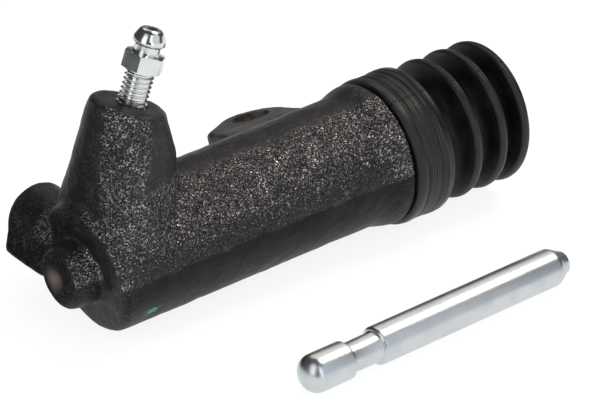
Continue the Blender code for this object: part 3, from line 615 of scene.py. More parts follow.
@dataclass(frozen=True)
class TurnedAluminium:
    """Aluminium bar turned on a lathe: pale and silky, with feed rings along the bore's axis."""

    name: str = "turned_aluminium"
    ring_pitch: float = 0.15 * MM
    ring_depth: float = 0.02 * MM
    rough_span: Span = (0.2, 0.8)
    roughness: Span = (0.26, 0.4)
    light: str = "#c9cacb"
    dark: str = "#a3a4a6"

    def make(self) -> Material:
        """Build the material.

        Returns:
            The material.
        """
        nodes = Recipe(self.name)
        along = nodes.add("VectorMath", (nodes.place, BORE_AXIS), "Value", operation="DOT_PRODUCT")
        inputs = {"W": along, "Scale": 1 / self.ring_pitch, "Detail": 2.0}
        rings = nodes.add("TexNoise", inputs, noise_dimensions="1D")
        return nodes.shaded(
            {
                "Base Color": nodes.add("Mix", {0: rings, 6: self.dark, 7: self.light}, 2, data_type="RGBA"),
                "Metallic": 1.0,
                "Roughness": nodes.add("MapRange", (rings, *self.rough_span, *self.roughness), **EASED),
                "Normal": nodes.add("Bump", {"Height": rings, "Distance": self.ring_depth, "Strength": 0.6}),
            }
        )


@dataclass(frozen=True)
class DrawnWire:
    """Oiled carbon steel spring wire: dark grey metal with a fine grain and a brown haze."""

    name: str = "drawn_spring_steel"
    haze_size: float = 1.5 * MM
    haze_span: Span = (0.3, 0.7)
    haze_depth: float = 0.02 * MM
    roughness: Span = (0.25, 0.4)
    dark: str = "#4b4845"
    light: str = "#83817f"

    def make(self) -> Material:
        """Build the material.

        Returns:
            The material.
        """
        nodes = Recipe(self.name)
        haze = nodes.add("TexNoise", {"Vector": nodes.place, "Scale": 1 / self.haze_size, "Detail": 4.0})
        return nodes.shaded(
            {
                "Base Color": nodes.clouded(haze, self.haze_span, self.dark, self.light),
                "Metallic": 1.0,
                "Roughness": nodes.add("MapRange", (haze, *self.haze_span, *self.roughness), **EASED),
                "Normal": nodes.add("Bump", {"Height": haze, "Distance": self.haze_depth, "Strength": 0.5}),
            }
        )


# Meshes


def tidied(solid: Solid) -> Solid:
    """Merge doubles and point the faces outwards.

    Args:
        solid: The mesh.

    Returns:
        The same mesh.
    """
    bmesh.ops.remove_doubles(solid, verts=solid.verts, dist=1e-6)
    bmesh.ops.recalc_face_normals(solid, faces=solid.faces)
    return solid


def turned(profile: Profile, steps: int) -> Solid:
    """Spin a profile about X into a closed solid.

    Args:
        profile: Pairs of X and radius. One that never meets the axis is closed into a ring.
        steps: How many steps the full turn has.

    Returns:
        The solid, its faces pointing outwards.
    """
    solid = bmesh.new()
    points = [solid.verts.new((x, 0.0, radius)) for x, radius in profile]
    edges = [solid.edges.new(pair) for pair in zip(points, points[1:])]
    if min(radius for _, radius in profile) > 0.0:
        edges.append(solid.edges.new((points[-1], points[0])))
    whole = {"cent": (0.0, 0.0, 0.0), "axis": (1.0, 0.0, 0.0), "angle": math.tau, "use_merge": True}
    bmesh.ops.spin(solid, geom=points + edges, steps=steps, **whole)
    return tidied(solid)


def threaded(radius: float, depth: float, pitch: float, start: float, end: float, steps: int = 40) -> Solid:
    """A screw-threaded bar along X, made by spinning one pitch of its outline along a helix.

    Args:
        radius: The crests' radius.
        depth: How deep the thread is.
        pitch: The advance of one turn.
        start: The lower end along X.
        end: The upper end along X.
        steps: Steps in one turn.

    Returns:
        The closed solid.
    """
    bar = bmesh.new()
    turns = math.ceil((end - start) / pitch) + 3
    rows = [(start - (1.5 - share) * pitch, 0.0, radius - low * depth) for share, low in THREAD_OUTLINE]
    points = [bar.verts.new(row) for row in rows]
    edges = [bar.edges.new(pair) for pair in zip(points, points[1:])]
    bmesh.ops.spin(
        bar,
        geom=points + edges,
        cent=(0.0, 0.0, 0.0),
        axis=(1.0, 0.0, 0.0),
        dvec=(pitch / steps, 0.0, 0.0),
        angle=math.tau * turns,
        steps=steps * turns,
        use_merge=False,
    )
    bmesh.ops.remove_doubles(bar, verts=bar.verts, dist=2e-6)
    for place, facing in ((start, -1.0), (end, 1.0)):
        bmesh.ops.bisect_plane(
            bar,
            geom=bar.verts[:] + bar.edges[:] + bar.faces[:],
            dist=1e-7,
            plane_co=(place, 0.0, 0.0),
            plane_no=(facing, 0.0, 0.0),
            clear_outer=True,
        )
        rim = [e for e in bar.edges if e.is_boundary and all(abs(v.co.x - place) < 1e-5 for v in e.verts)]
        bmesh.ops.holes_fill(bar, edges=rim)
    return tidied(bar)


def bar_between(
    start: Vector, end: Vector, radius: float, end_radius: float | None = None, steps: int = 48
) -> Solid:
    """A round bar between two points, which may taper.

    Args:
        start: The middle of its first end.
        end: The middle of its second end.
        radius: Its radius at the first end.
        end_radius: Its radius at the second end, if that differs.
        steps: How many sides it has.

    Returns:
        The closed bar.
    """
    bar = bmesh.new()
    placed = Vector((0, 0, 1)).rotation_difference(end - start).to_matrix().to_4x4()
    placed.translation = 0.5 * (start + end)
    sizes = {"radius1": radius, "radius2": end_radius or radius, "depth": (end - start).length}
    bmesh.ops.create_cone(bar, cap_ends=True, segments=steps, matrix=placed, **sizes)
    return bar


def rounded(centre: Span, radius: float, first: float, last: float, steps: int) -> Profile:
    """Points of an arc in the profile's plane, between two angles in degrees."""
    angles = [math.radians(first + (last - first) * step / steps) for step in range(steps + 1)]
    return [(centre[0] + radius * math.cos(a), centre[1] + radius * math.sin(a)) for a in angles]


def rounded_corners(corners: Sequence[Point], steps: int) -> Profile:
    """A profile whose corners are rounded.

    Args:
        corners: X, radius and the rounding of each corner.
        steps: Steps in each rounded corner.

    Returns:
        The profile.
    """
    made: Profile = []
    for index, (x, radius, fillet) in enumerate(corners):
        here = Vector((x, radius))
        if fillet <= 0.0 or index in (0, len(corners) - 1):
            made.append((x, radius))
            continue
        before = Vector(corners[index - 1][:2]) - here
        after = Vector(corners[index + 1][:2]) - here
        cut = min(fillet, 0.45 * before.length, 0.45 * after.length)
        first, last = here + before.normalized() * cut, here + after.normalized() * cut
        for step in range(steps + 1):
            share = step / steps
            point = first * (1 - share) ** 2 + here * 2 * share * (1 - share) + last * share**2
            made.append((point.x, point.y))
    return made


def as_object(solid: Solid, name: str, placed: Matrix | None = None) -> Piece:
    """Put a mesh in the scene, with its place in its mesh.

    Args:
        solid: The mesh, which is used up.
        name: The object's name.
        placed: Where the mesh goes.

    Returns:
        The object.
    """
    mesh = bpy.data.meshes.new(name)
    solid.to_mesh(mesh)
    solid.free()
    if placed:
        mesh.transform(placed)
    made = bpy.data.objects.new(name, mesh)
    bpy.context.scene.collection.objects.link(made)
    return made


def applied(piece: Piece) -> Piece:
    """Turn the piece's modifiers into its mesh.

    Args:
        piece: The object that changes.

    Returns:
        The same object.
    """
    graph = bpy.context.evaluated_depsgraph_get()
    mesh = bpy.data.meshes.new_from_object(piece.evaluated_get(graph))
    piece.modifiers.clear()
    old, piece.data = piece.data, mesh
    bpy.data.meshes.remove(old)
    return piece


def combine(piece: Piece, other: Solid, join: Join, placed: Matrix | None = None, material: int = 0) -> None:
    """Join or cut the piece with another solid at once.

    Args:
        piece: The object that changes.
        other: The second solid, which is used up.
        join: What to do with it.
        placed: Where the second solid goes.
        material: The slot that its faces take in the piece.
    """
    for face in other.faces:
        face.material_index = material
    tool = as_object(other, "tool", placed)
    for slot in piece.data.materials:
        tool.data.materials.append(slot)
    modifier = piece.modifiers.new("join", "BOOLEAN")
    modifier.operation = join.value
    modifier.solver = "MANIFOLD"
    modifier.object = tool
    applied(piece)
    bpy.data.objects.remove(tool)


def finish_piece(piece: Piece, body: Body, node: str, sharp: float) -> Piece:
    """Smooth the piece, keep its sharp edges, and tie it to the frame.

    Args:
        piece: The finished mesh object.
        body: The body it rides on.
        node: The CAD node that it stands for.
        sharp: The angle in degrees from which an edge stays sharp.

    Returns:
        The piece.
    """
    piece.data.shade_smooth()
    piece.data.set_sharp_from_angle(angle=math.radians(sharp))
    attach(piece, body.value)
    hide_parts(node)
    log.info("%s: %d faces", piece.name, len(piece.data.polygons))
    return piece


# Sub-assemblies


@dataclass
class Drilling:
    """A round hole of the casting, from its mouth inwards."""

    start: Vector
    end: Vector
    radius: float
    plug: float
    end_radius: float | None = None

    def cutter(self) -> Solid:
        """The solid that cuts the hole, a little proud of its mouth."""
        back = (self.start - self.end).normalized() * EPSILON
        return bar_between(self.start + back, self.end, self.radius, self.end_radius)

    def filler(self) -> Solid:
        """The solid that fills the CAD model's hole, flush with its mouth."""
        along = (self.end - self.start).normalized()
        return bar_between(self.start, self.end + along * self.plug, self.radius + self.plug)


@dataclass(frozen=True)
class FilletZone:
    """A box with soft sides, in the cylinder's axes, where the casting's inner corners are well rounded."""

    low: Point
    high: Point
    fade: float
    strength: float

    def weight(self, point: Vector) -> float:
        """How much a point belongs to the zone, from 0 to its strength."""
        inside = [min(p - low, high - p) / self.fade for p, low, high in zip(point, self.low, self.high)]
        return self.strength * max(0.0, min(1.0, *inside))


@dataclass
class CastBody:
    """The iron casting: the CAD solid, softened like a sand casting and then machined again."""

    voxel: float = 0.6 * MM
    smoothing: int = 7
    bore_radius: float = 10.3 * MM
    bore_depth: float = 84.0 * MM
    spigot_length: float = 9.0 * MM
    spigot_radius: float = 16.8 * MM
    spigot_chamfer: float = 0.8 * MM
    groove: Point = (3.0 * MM, 2.6 * MM, 1.3 * MM)
    flare_radius: float = 19.8 * MM
    tower_top: Vector = Vector((-77.5 * MM, 0.0, 43.0 * MM))
    tower_lean: float = math.radians(22.0)
    bleeder_shift: float = 0.7 * MM
    bleeder_radius: float = 4.1 * MM
    bleeder_depth_mm: float = 12.7
    bleed_way_start_mm: float = 12.4
    bleed_way_radius: float = 1.5 * MM
    bleed_way_plug: float = 1.9 * MM
    end_way_radius: float = 2.2 * MM
    inlet: Vector = Vector((-87.3 * MM, 32.0 * MM, -0.4 * MM))
    inlet_way_radius: float = 1.6 * MM
    port_radius: float = 4.4 * MM
    port_depth: float = 13.0 * MM
    lug_slope: float = math.radians(21.7)
    lug_hole: Point = (-15.9 * MM, 29.0 * MM, 14.8 * MM)
    lug_thickness: float = 8.0 * MM
    lug_hole_radius: float = 5.3 * MM
    plug: float = 0.4 * MM
    countersink: Point = (5.0 * MM, 4.0 * MM, 0.7 * MM)
    port_face: Span = (7.4 * MM, 0.8 * MM)
    port_thread: tuple[float, ...] = (5.0 * MM, 0.6 * MM, 1.0 * MM, -EPSILON, 11 * MM)
    fillet_smoothing: int = 60
    fillet_zones: tuple[FilletZone, ...] = (
        FilletZone((-89.0 * MM, -22.0 * MM, 1.0 * MM), (-46.0 * MM, 22.0 * MM, 30.0 * MM), 4.0 * MM, 1.0),
        FilletZone((-104.0 * MM, 10.0 * MM, -12.0 * MM), (-70.0 * MM, 36.0 * MM, 6.0 * MM), 4.0 * MM, 0.4),
        FilletZone((-110.0 * MM, -14.0 * MM, -14.0 * MM), (-94.0 * MM, 14.0 * MM, 14.0 * MM), 3.0 * MM, 0.4),
    )
    swells: tuple[Span, ...] = ((9.0 * MM, 0.16 * MM), (3.6 * MM, 0.1 * MM), (1.7 * MM, 0.055 * MM))

    def tower_axes(self) -> Matrix:
        """Where the bleeder's hole is.

        Returns:
            Axes whose X runs down the hole from the tower's top face.
        """
        axis = Vector((math.sin(self.tower_lean), 0, math.cos(self.tower_lean)))
        forward = Vector((math.cos(self.tower_lean), 0, -math.sin(self.tower_lean)))
        seat = self.tower_top + forward * self.bleeder_shift
        return axes_at(seat, -axis, Vector((0, 1, 0)), forward)

    def drillings(self) -> list[Drilling]:
        """Lay out every plain round hole.

        Returns:
            The holes, in the cylinder's axes.
        """
        down = self.tower_axes().to_3x3() @ Vector((1, 0, 0))
        seat = self.tower_axes().translation
        foot = seat + down * (seat.z / math.cos(self.tower_lean))
        normal = Vector((0, math.sin(self.lug_slope), math.cos(self.lug_slope)))
        outward = Vector((0, math.cos(self.lug_slope), -math.sin(self.lug_slope)))
        lug = Vector((self.lug_hole[0], 0, 0)) + outward * self.lug_hole[1] + normal * self.lug_hole[2]
        along = Vector((1, 0, 0))
        bore_floor = along * -(self.bore_depth - EPSILON)
        port_floor = self.inlet - Vector((0, self.port_depth, 0))
        rows = (
            (Vector((self.spigot_length, 0, 0)), along * -self.bore_depth, self.bore_radius, self.plug),
            (bore_floor, Vector((foot.x - 2 * MM, 0, 0)), self.end_way_radius, self.plug),
            (seat, seat + down * self.bleeder_depth_mm * MM, self.bleeder_radius, self.plug),
            (seat + down * self.bleed_way_start_mm * MM, foot, self.bleed_way_radius, self.bleed_way_plug),
            (self.inlet, port_floor, self.port_radius, self.plug),
            (port_floor, Vector((self.inlet.x, -EPSILON, 0)), self.inlet_way_radius, self.plug),
            (lug, lug - normal * self.lug_thickness, self.lug_hole_radius, 0.0),
        )
        return [Drilling(*row) for row in rows]

    def rough_casting(self) -> Piece:
        """Fill the CAD solid's holes, then remesh and smooth it so that every inner corner gets a fillet.

        Returns:
            The casting before it is machined.
        """
        solid = bmesh.new()
        solid.from_mesh(frame["nodes"]["cylinder_body"].data)
        bmesh.ops.remove_doubles(solid, verts=solid.verts, dist=1e-6)
        piece = as_object(solid, "cast_body", CYLINDER_AXES.inverted())
        joined = bmesh.new()
        joined.from_mesh(piece.data)
        for drilling in self.drillings():
            plug = bpy.data.meshes.new("plug")
            filler = drilling.filler()
            filler.to_mesh(plug)
            filler.free()
            joined.from_mesh(plug)
            bpy.data.meshes.remove(plug)
        joined.to_mesh(piece.data)
        joined.free()
        remesh = piece.modifiers.new("skin", "REMESH")
        remesh.mode = "VOXEL"
        remesh.voxel_size = self.voxel
        soften = piece.modifiers.new("soften", "SMOOTH")
        soften.factor = 0.5
        soften.iterations = self.smoothing
        return self.filleted(applied(piece))

    def filleted(self, piece: Piece) -> Piece:
        """Smooth the skin much further where the tower and the pipe boss grow out of the barrel.

        Args:
            piece: The remeshed casting.

        Returns:
            The same object.
        """
        group = piece.vertex_groups.new(name="fillets")
        for vertex in piece.data.vertices:
            weight = max(zone.weight(vertex.co) for zone in self.fillet_zones)
            if weight > 0.01:
                group.add([vertex.index], weight, "REPLACE")
        soften = piece.modifiers.new("fillets", "SMOOTH")
        soften.factor = 0.5
        soften.iterations = self.fillet_smoothing
        soften.vertex_group = group.name
        return applied(piece)

    def swell(self, piece: Piece) -> None:
        """Move the skin in and out a little, as sand leaves it.

        Args:
            piece: The smoothed casting, which changes.
        """
        skin = bmesh.new()
        skin.from_mesh(piece.data)
        skin.normal_update()
        for vertex in skin.verts:
            rise = sum(depth * noise.noise(vertex.co / size) for size, depth in self.swells)
            vertex.co += vertex.normal * rise
        skin.to_mesh(piece.data)
        skin.free()

    def spigot_cutter(self) -> Solid:
        """The ring that turns the spigot, its groove and the shoulder clean.

        Returns:
            The cutter.
        """
        start, width, depth = self.groove
        skin, outside = self.spigot_radius, self.flare_radius + 3 * MM
        floor, chamfered = skin - depth, skin - self.spigot_chamfer
        end = self.spigot_length + 2 * MM
        ring = [(0.0, outside), (0.0, skin), (start, skin), (start, floor), (start + width, floor)]
        ring += [(start + width, skin), (self.spigot_length - self.spigot_chamfer, skin)]
        ring += [(self.spigot_length, chamfered), (end, chamfered), (end, outside)]
        return turned(ring, 96)

    def build(self, paint: Material, bare: Material) -> Piece:
        """Model the casting.

        Args:
            paint: The finish of the cast skin.
            bare: The finish of what is machined.

        Returns:
            The piece.
        """
        piece = self.rough_casting()
        self.swell(piece)
        piece.data.materials.clear()
        for material in (paint, bare):
            piece.data.materials.append(material)
        combine(piece, self.spigot_cutter(), Join.DIFFERENCE, material=1)
        for drilling in self.drillings():
            combine(piece, drilling.cutter(), Join.DIFFERENCE, material=1)
        wide, narrow, depth = self.countersink
        mouth = turned([(-EPSILON, 0), (-EPSILON, wide), (depth, narrow), (depth, 0)], 48)
        radius, depth = self.port_face
        face = turned([(-2 * MM, 0), (-2 * MM, radius), (depth, radius), (depth, 0)], 64)
        port = axes_at(self.inlet, Vector((0, -1, 0)), Vector((1, 0, 0)), Vector((0, 0, -1)))
        for cutter, placed in ((mouth, self.tower_axes()), (face, port), (threaded(*self.port_thread), port)):
            combine(piece, cutter, Join.DIFFERENCE, placed, material=1)
        piece.data.transform(CYLINDER_AXES)
        return finish_piece(piece, Body.CYLINDER, "cylinder_body", 40.0)


@dataclass
class BellowsBoot:
    """The rubber boot: a ribbed collar, a bead and three thin convolutions that droop a little."""

    wall: float = 1.05 * MM
    grip: float = 17.1 * MM
    rib: Point = (3.3 * MM, 5.3 * MM, 1.3 * MM)
    lip_start: float = 0.3 * MM
    lip_end: float = 3.5 * MM
    lip_round: float = 0.9 * MM
    lip_radius: float = 20.6 * MM
    collar_radius: float = 20.2 * MM
    ridges: tuple[Span, ...] = (
        (4.7 * MM, 0.18 * MM),
        (5.6 * MM, 0.1 * MM),
        (6.5 * MM, 0.17 * MM),
        (7.3 * MM, 0.08 * MM),
        (8.1 * MM, 0.15 * MM),
    )
    ridge_half: Span = (0.3 * MM, 0.1 * MM)
    band_step: float = 0.3 * MM
    bead_place: float = 10.4 * MM
    bead_radius: float = 20.55 * MM
    bead_round: float = 2.3 * MM
    ring_places: tuple[float, ...] = (21.7 * MM, 30.4 * MM, 38.0 * MM)
    ring_radius: float = 19.6 * MM
    ring_half: float = 1.35 * MM
    crest_round: float = 1.0 * MM
    parting_half: Span = (0.12 * MM, 0.05 * MM)
    parting_height: float = 0.07 * MM
    root_radius: float = 13.0 * MM
    neck_radius: float = 8.4 * MM
    neck_length: float = 4.4 * MM
    hole_radius: float = 5.3 * MM
    sag: float = 0.35 * MM
    sag_start: float = 9.0 * MM
    sag_length: float = 4.0 * MM
    droop_start: float = 17.0 * MM
    droop: float = math.radians(2.5)
    steps: int = 128

    def crest(self, place: float, radius: float, half: float, inset: float) -> Profile:
        """The crest of a bead or a convolution.

        Args:
            place: Its middle along X.
            radius: Its outer radius.
            half: Half its width.
            inset: How far inside the skin the section runs.

        Returns:
            Two rounded shoulders with a fine parting line between them, or a plain arch on the inside.
        """
        width, top = half - inset, radius - inset
        if inset > 0.0:
            return rounded((place, top - width), width, 180, 0, 6)
        curve = min(width, self.crest_round)
        wide, narrow = self.parting_half
        line = top + self.parting_height
        made = rounded((place - width + curve, top - curve), curve, 180, 95, 6)
        made += [(place - wide, top), (place - narrow, line), (place + narrow, line), (place + wide, top)]
        return made + rounded((place + width - curve, top - curve), curve, 85, 0, 6)

    def skin(self, inset: float) -> Profile:
        """The bead and the convolutions, from the collar to the last flank.

        Args:
            inset: How far inside the skin the section runs: nothing, or the wall for the inside.

        Returns:
            The section.
        """
        made = self.crest(self.bead_place, self.bead_radius, self.bead_round, inset)
        flank = self.bead_place + self.bead_round
        for place in self.ring_places:
            last = place - self.ring_half
            half = 0.5 * (last - flank)
            centre = (0.5 * (flank + last), self.root_radius + half)
            made += rounded(centre, half + inset, 180, 360, 12)
            made += self.crest(place, self.ring_radius, self.ring_half, inset)
            flank = place + self.ring_half
        return made

    def collar(self) -> Profile:
        """The lip, rounded like a rib, and the ridged band behind it.

        Returns:
            The section.
        """
        lip, band, end = self.lip_radius, self.collar_radius, self.lip_end
        made = [(self.lip_start, self.grip + 1.2 * MM)]
        made += rounded((self.lip_start + self.lip_round, lip - 1.1 * MM), self.lip_round, 170, 100, 6)
        made += [(self.lip_start + 1.9 * MM, lip - 0.05 * MM), (end - 0.6 * MM, lip - 0.08 * MM)]
        made += [(end - 0.15 * MM, lip - 0.25 * MM), (end + 0.15 * MM, band - 0.22 * MM)]
        made += [(end + 0.45 * MM, band - 0.22 * MM), (end + 0.7 * MM, band)]
        foot, top = self.ridge_half
        for place, height in self.ridges:
            made += [(place - foot, band), (place - top, band + height)]
            made += [(place + top, band + height), (place + foot, band)]
        made.append((self.bead_place - self.bead_round - 0.1 * MM, band - self.band_step))
        return made

    def settle(self, point: Vector) -> Vector:
        """Let the skin sag on its grip and bend the free length downwards, as the CAD solid does.

        Args:
            point: A place on the straight boot.

        Returns:
            Where it comes to lie.
        """
        outward = (math.hypot(point.y, point.z) - self.grip) / (self.collar_radius - self.grip)
        along = (point.x - self.sag_start) / self.sag_length
        sag = self.sag * min(max(outward, along, 0.0), 1.0)
        beyond = max(point.x - self.droop_start, 0.0)
        angle = self.droop * beyond / (self.ring_places[-1] - self.droop_start)
        x = point.x - beyond * (1.0 - math.cos(0.5 * angle))
        z = -sag - beyond * math.sin(0.5 * angle)
        return Vector((x + point.z * math.sin(angle), point.y, z + point.z * math.cos(angle)))

    def profile(self) -> Profile:
        """Close the outside and the inside into one section.

        Returns:
            The whole section.
        """
        flank = self.ring_places[-1] + self.ring_half
        tip = flank + self.neck_length
        outside, inside = self.skin(0.0), self.skin(self.wall)
        outer = self.collar()
        least = self.collar_radius - self.band_step
        outer += [(x, radius) for x, radius in outside if radius > least or x > self.bead_place]
        outer += rounded((flank + 1.0 * MM, self.neck_radius + 1.0 * MM), 1.0 * MM, 180, 270, 5)
        outer += rounded((tip - 0.7 * MM, self.neck_radius - 0.7 * MM), 0.7 * MM, 90, 0, 4)
        outer += rounded((tip - 0.5 * MM, self.hole_radius + 0.5 * MM), 0.5 * MM, 0, -90, 4)
        inner = [(flank - self.wall, self.hole_radius)]
        inner += [point for point in reversed(inside) if point[0] > self.bead_place - 0.2 * MM]
        rib_start, rib_end, rib_height = self.rib
        rib_radius = self.grip - rib_height
        inner += [(self.bead_place - 0.9 * MM, self.grip), (rib_end, self.grip), (rib_end, rib_radius)]
        inner += [(rib_start, rib_radius), (rib_start, self.grip), (self.lip_start, self.grip)]
        return outer + inner

    def build(self, rubber: Material) -> Piece:
        """Model the boot.

        Args:
            rubber: Its finish.

        Returns:
            The piece.
        """
        solid = turned(self.profile(), self.steps)
        for vertex in solid.verts:
            vertex.co = self.settle(vertex.co)
        piece = as_object(solid, "bellows_boot", CYLINDER_AXES)
        piece.data.materials.append(rubber)
        return finish_piece(piece, Body.CYLINDER, "boot", 50.0)


@dataclass
class BleederScrew:
    """The zinc-plated bleeder: threaded shank, chamfered hexagon, neck and rounded nipple."""

    thread_radius: float = 3.95 * MM
    thread_depth: float = 0.45 * MM
    pitch: float = 1.25 * MM
    held: float = 9.0 * MM
    thread_top: float = 8.3 * MM
    exposed: float = 9.3 * MM
    across_flats: float = 10.0 * MM
    hex_height: float = 4.6 * MM
    hex_turn: float = math.radians(10.7)
    hex_bevel: float = 0.12 * MM
    hex_face_inset: float = 0.15 * MM
    hex_chamfer: float = math.radians(18)
    neck_radius: float = 3.45 * MM
    neck_height: float = 2.2 * MM
    head_radius: float = 4.4 * MM
    head_height: float = 4.3 * MM
    head_top: float = 2.7 * MM
    hole_radius: float = 1.2 * MM
    hole_depth: float = 1.7 * MM
    cross_radius: float = 0.96 * MM
    cone_radius: float = 2.7 * MM
    cone_start: float = 3.4 * MM
    tip_radius: float = 0.8 * MM
    tip_depth: float = 5.8 * MM

    def core(self) -> Solid:
        """Turn everything round but the thread.

        Returns:
            The solid.
        """
        hex_top = self.exposed + self.hex_height
        neck_top = hex_top + self.neck_height
        top = neck_top + self.head_height
        root, relief = self.thread_radius - self.thread_depth, self.thread_radius - 0.2 * MM
        corners = [
            (-self.held - self.tip_depth, 0.0, 0.0),
            (-self.held - self.tip_depth, self.tip_radius, 0.0),
            (-self.held - self.cone_start, self.cone_radius, 0.2 * MM),
            (-self.held, self.cone_radius, 0.0),
            (-self.held + 0.6 * MM, root, 0.0),
            (self.thread_top, root, 0.0),
            (self.thread_top + 0.5 * MM, relief, 0.3 * MM),
            (self.exposed + 0.3 * MM, relief, 0.0),
            (self.exposed + 0.3 * MM, root, 0.0),
            (hex_top - 0.3 * MM, root, 0.0),
            (hex_top - 0.3 * MM, self.neck_radius, 0.0),
            (neck_top, self.neck_radius, 0.3 * MM),
            (neck_top + 0.5 * MM, self.head_radius, 0.3 * MM),
            (neck_top + 1.6 * MM, self.head_radius, 0.7 * MM),
            (top - 0.55 * MM, self.head_top + 0.6 * MM, 0.5 * MM),
            (top, self.head_top - 0.15 * MM, 0.2 * MM),
            (top, 0.0, 0.0),
        ]
        return turned(rounded_corners(corners, 4), 64)

    def hexagon(self) -> Piece:
        """The hexagon with its corners turned off above and below.

        Returns:
            The object that the rest is joined to.
        """
        flat = 0.5 * self.across_flats
        corner = flat / math.cos(math.pi / 6)
        middle, half = self.exposed + 0.5 * self.hex_height, 0.5 * self.hex_height
        turn = Matrix.Rotation(self.hex_turn, 4, "X") @ Matrix.Rotation(math.pi / 2, 4, "Y")
        placed = Matrix.Translation((middle, 0, 0)) @ turn
        prism = bmesh.new()
        sizes = {"radius1": corner, "radius2": corner, "depth": self.hex_height}
        bmesh.ops.create_cone(prism, cap_ends=True, segments=6, matrix=placed, **sizes)
        edges = [e for e in prism.edges if abs(e.verts[0].co.x - e.verts[1].co.x) > half]
        bevel = {"segments": 2, "profile": 0.5, "affect": "EDGES", "material": -1}
        bmesh.ops.bevel(prism, geom=edges, offset=self.hex_bevel, **bevel)
        piece = as_object(prism, "hexagon")
        inner, outer = flat - self.hex_face_inset, corner + 0.001 * MM
        slope = math.tan(self.hex_chamfer) * (corner - flat + self.hex_face_inset)
        low, high = middle - half, middle + half
        dome = [(low, 0), (low, inner), (low + slope, outer), (high - slope, outer), (high, inner), (high, 0)]
        combine(piece, turned(dome, 96), Join.INTERSECT)
        return piece

    def drilling(self) -> Solid:
        """The hole down the middle, countersunk at the nipple's end.

        Returns:
            The cutter.
        """
        top = self.exposed + self.hex_height + self.neck_height + self.head_height
        floor, above = -self.held - self.hole_depth, top + 0.2 * MM
        section = [(floor, 0), (floor, self.hole_radius), (top - 0.3 * MM, self.hole_radius)]
        return turned([*section, (above, self.hole_radius + 0.5 * MM), (above, 0)], 32)

    def build(self, zinc: Material, axes: Matrix) -> Piece:
        """Model the screw.

        Args:
            zinc: Its finish.
            axes: Where X runs down the hole from the tower's top face, in the cylinder's axes.

        Returns:
            The piece.
        """
        piece = self.hexagon()
        piece.name = "bleeder_nipple"
        combine(piece, self.core(), Join.UNION)
        ends = (-self.held + 0.3 * MM, self.thread_top + 0.25 * MM)
        combine(piece, threaded(self.thread_radius, self.thread_depth, self.pitch, *ends), Join.UNION)
        combine(piece, self.drilling(), Join.DIFFERENCE)
        low, high = (Vector((-self.held - self.hole_depth, side * 4 * MM, 0)) for side in (-1, 1))
        combine(piece, bar_between(low, high, self.cross_radius, steps=24), Join.DIFFERENCE)
        piece.data.transform(CYLINDER_AXES @ axes @ Matrix.Rotation(math.pi, 4, "Y"))
        piece.data.materials.clear()
        piece.data.materials.append(zinc)
        return finish_piece(piece, Body.BLEEDER, "bleeder_screw", 30.0)


@dataclass
class PushRod:
    """The loose push rod: domed head, neck, shaft and a coned tip, lying on the surface."""

    radius: float = 5.2 * MM
    length: float = 91.3 * MM
    head_length: float = 14.3 * MM
    dome: float = 4.2 * MM
    dome_steps: int = 14
    neck_radius: float = 4.1 * MM
    neck_length: float = 9.7 * MM
    chamfer: float = 0.5 * MM
    tip_cone: float = 3.6 * MM
    tip_radius: float = 3.3 * MM
    tip_dome: float = 1.8 * MM
    tip_steps: int = 8
    start: Vector = Vector((-40.38 * MM, -48.045 * MM, 5.205 * MM))
    yaw: float = math.radians(3.1)

    def axis(self) -> Vector:
        """Which way the rod points in the frame."""
        return Vector((math.cos(self.yaw), math.sin(self.yaw), 0.0))

    def profile(self) -> Profile:
        """The rod's section from its head to its tip.

        Returns:
            The section.
        """
        made: Profile = [(0.0, 0.0)]
        for step in range(1, self.dome_steps + 1):
            turn = 0.5 * math.pi * step / self.dome_steps
            made.append((self.dome * (1 - math.cos(turn)), self.radius * math.sin(turn)))
        neck_end = self.head_length + self.neck_length
        shaft_end = self.length - self.tip_cone - self.tip_dome
        corners = [
            (self.dome, self.radius, 0.0),
            (self.head_length - self.chamfer, self.radius, 0.25 * MM),
            (self.head_length, self.radius - self.chamfer, 0.2 * MM),
            (self.head_length + 0.3 * MM, self.neck_radius, 0.25 * MM),
            (neck_end - 0.15 * MM, self.neck_radius, 0.3 * MM),
            (neck_end, self.radius - self.chamfer, 0.15 * MM),
            (neck_end + self.chamfer, self.radius, 0.25 * MM),
            (shaft_end, self.radius, 0.6 * MM),
            (self.length - self.tip_dome, self.tip_radius, 0.0),
        ]
        made += rounded_corners(corners, 3)[1:]
        for step in range(1, self.tip_steps):
            turn = 0.5 * math.pi * step / self.tip_steps
            x = self.length - self.tip_dome * (1 - math.sin(turn))
            made.append((x, self.tip_radius * math.cos(turn)))
        return [*made, (self.length, 0.0)]

    def build(self, zinc: Material) -> Piece:
        """Model the rod.

        Args:
            zinc: Its finish.

        Returns:
            The piece.
        """
        placed = Matrix.Translation(self.start) @ Matrix.Rotation(self.yaw, 4, "Z")
        piece = as_object(turned(self.profile(), 96), "plated_push_rod", placed)
        piece.data.materials.append(zinc)
        return finish_piece(piece, Body.CYLINDER, "push_rod", 30.0)


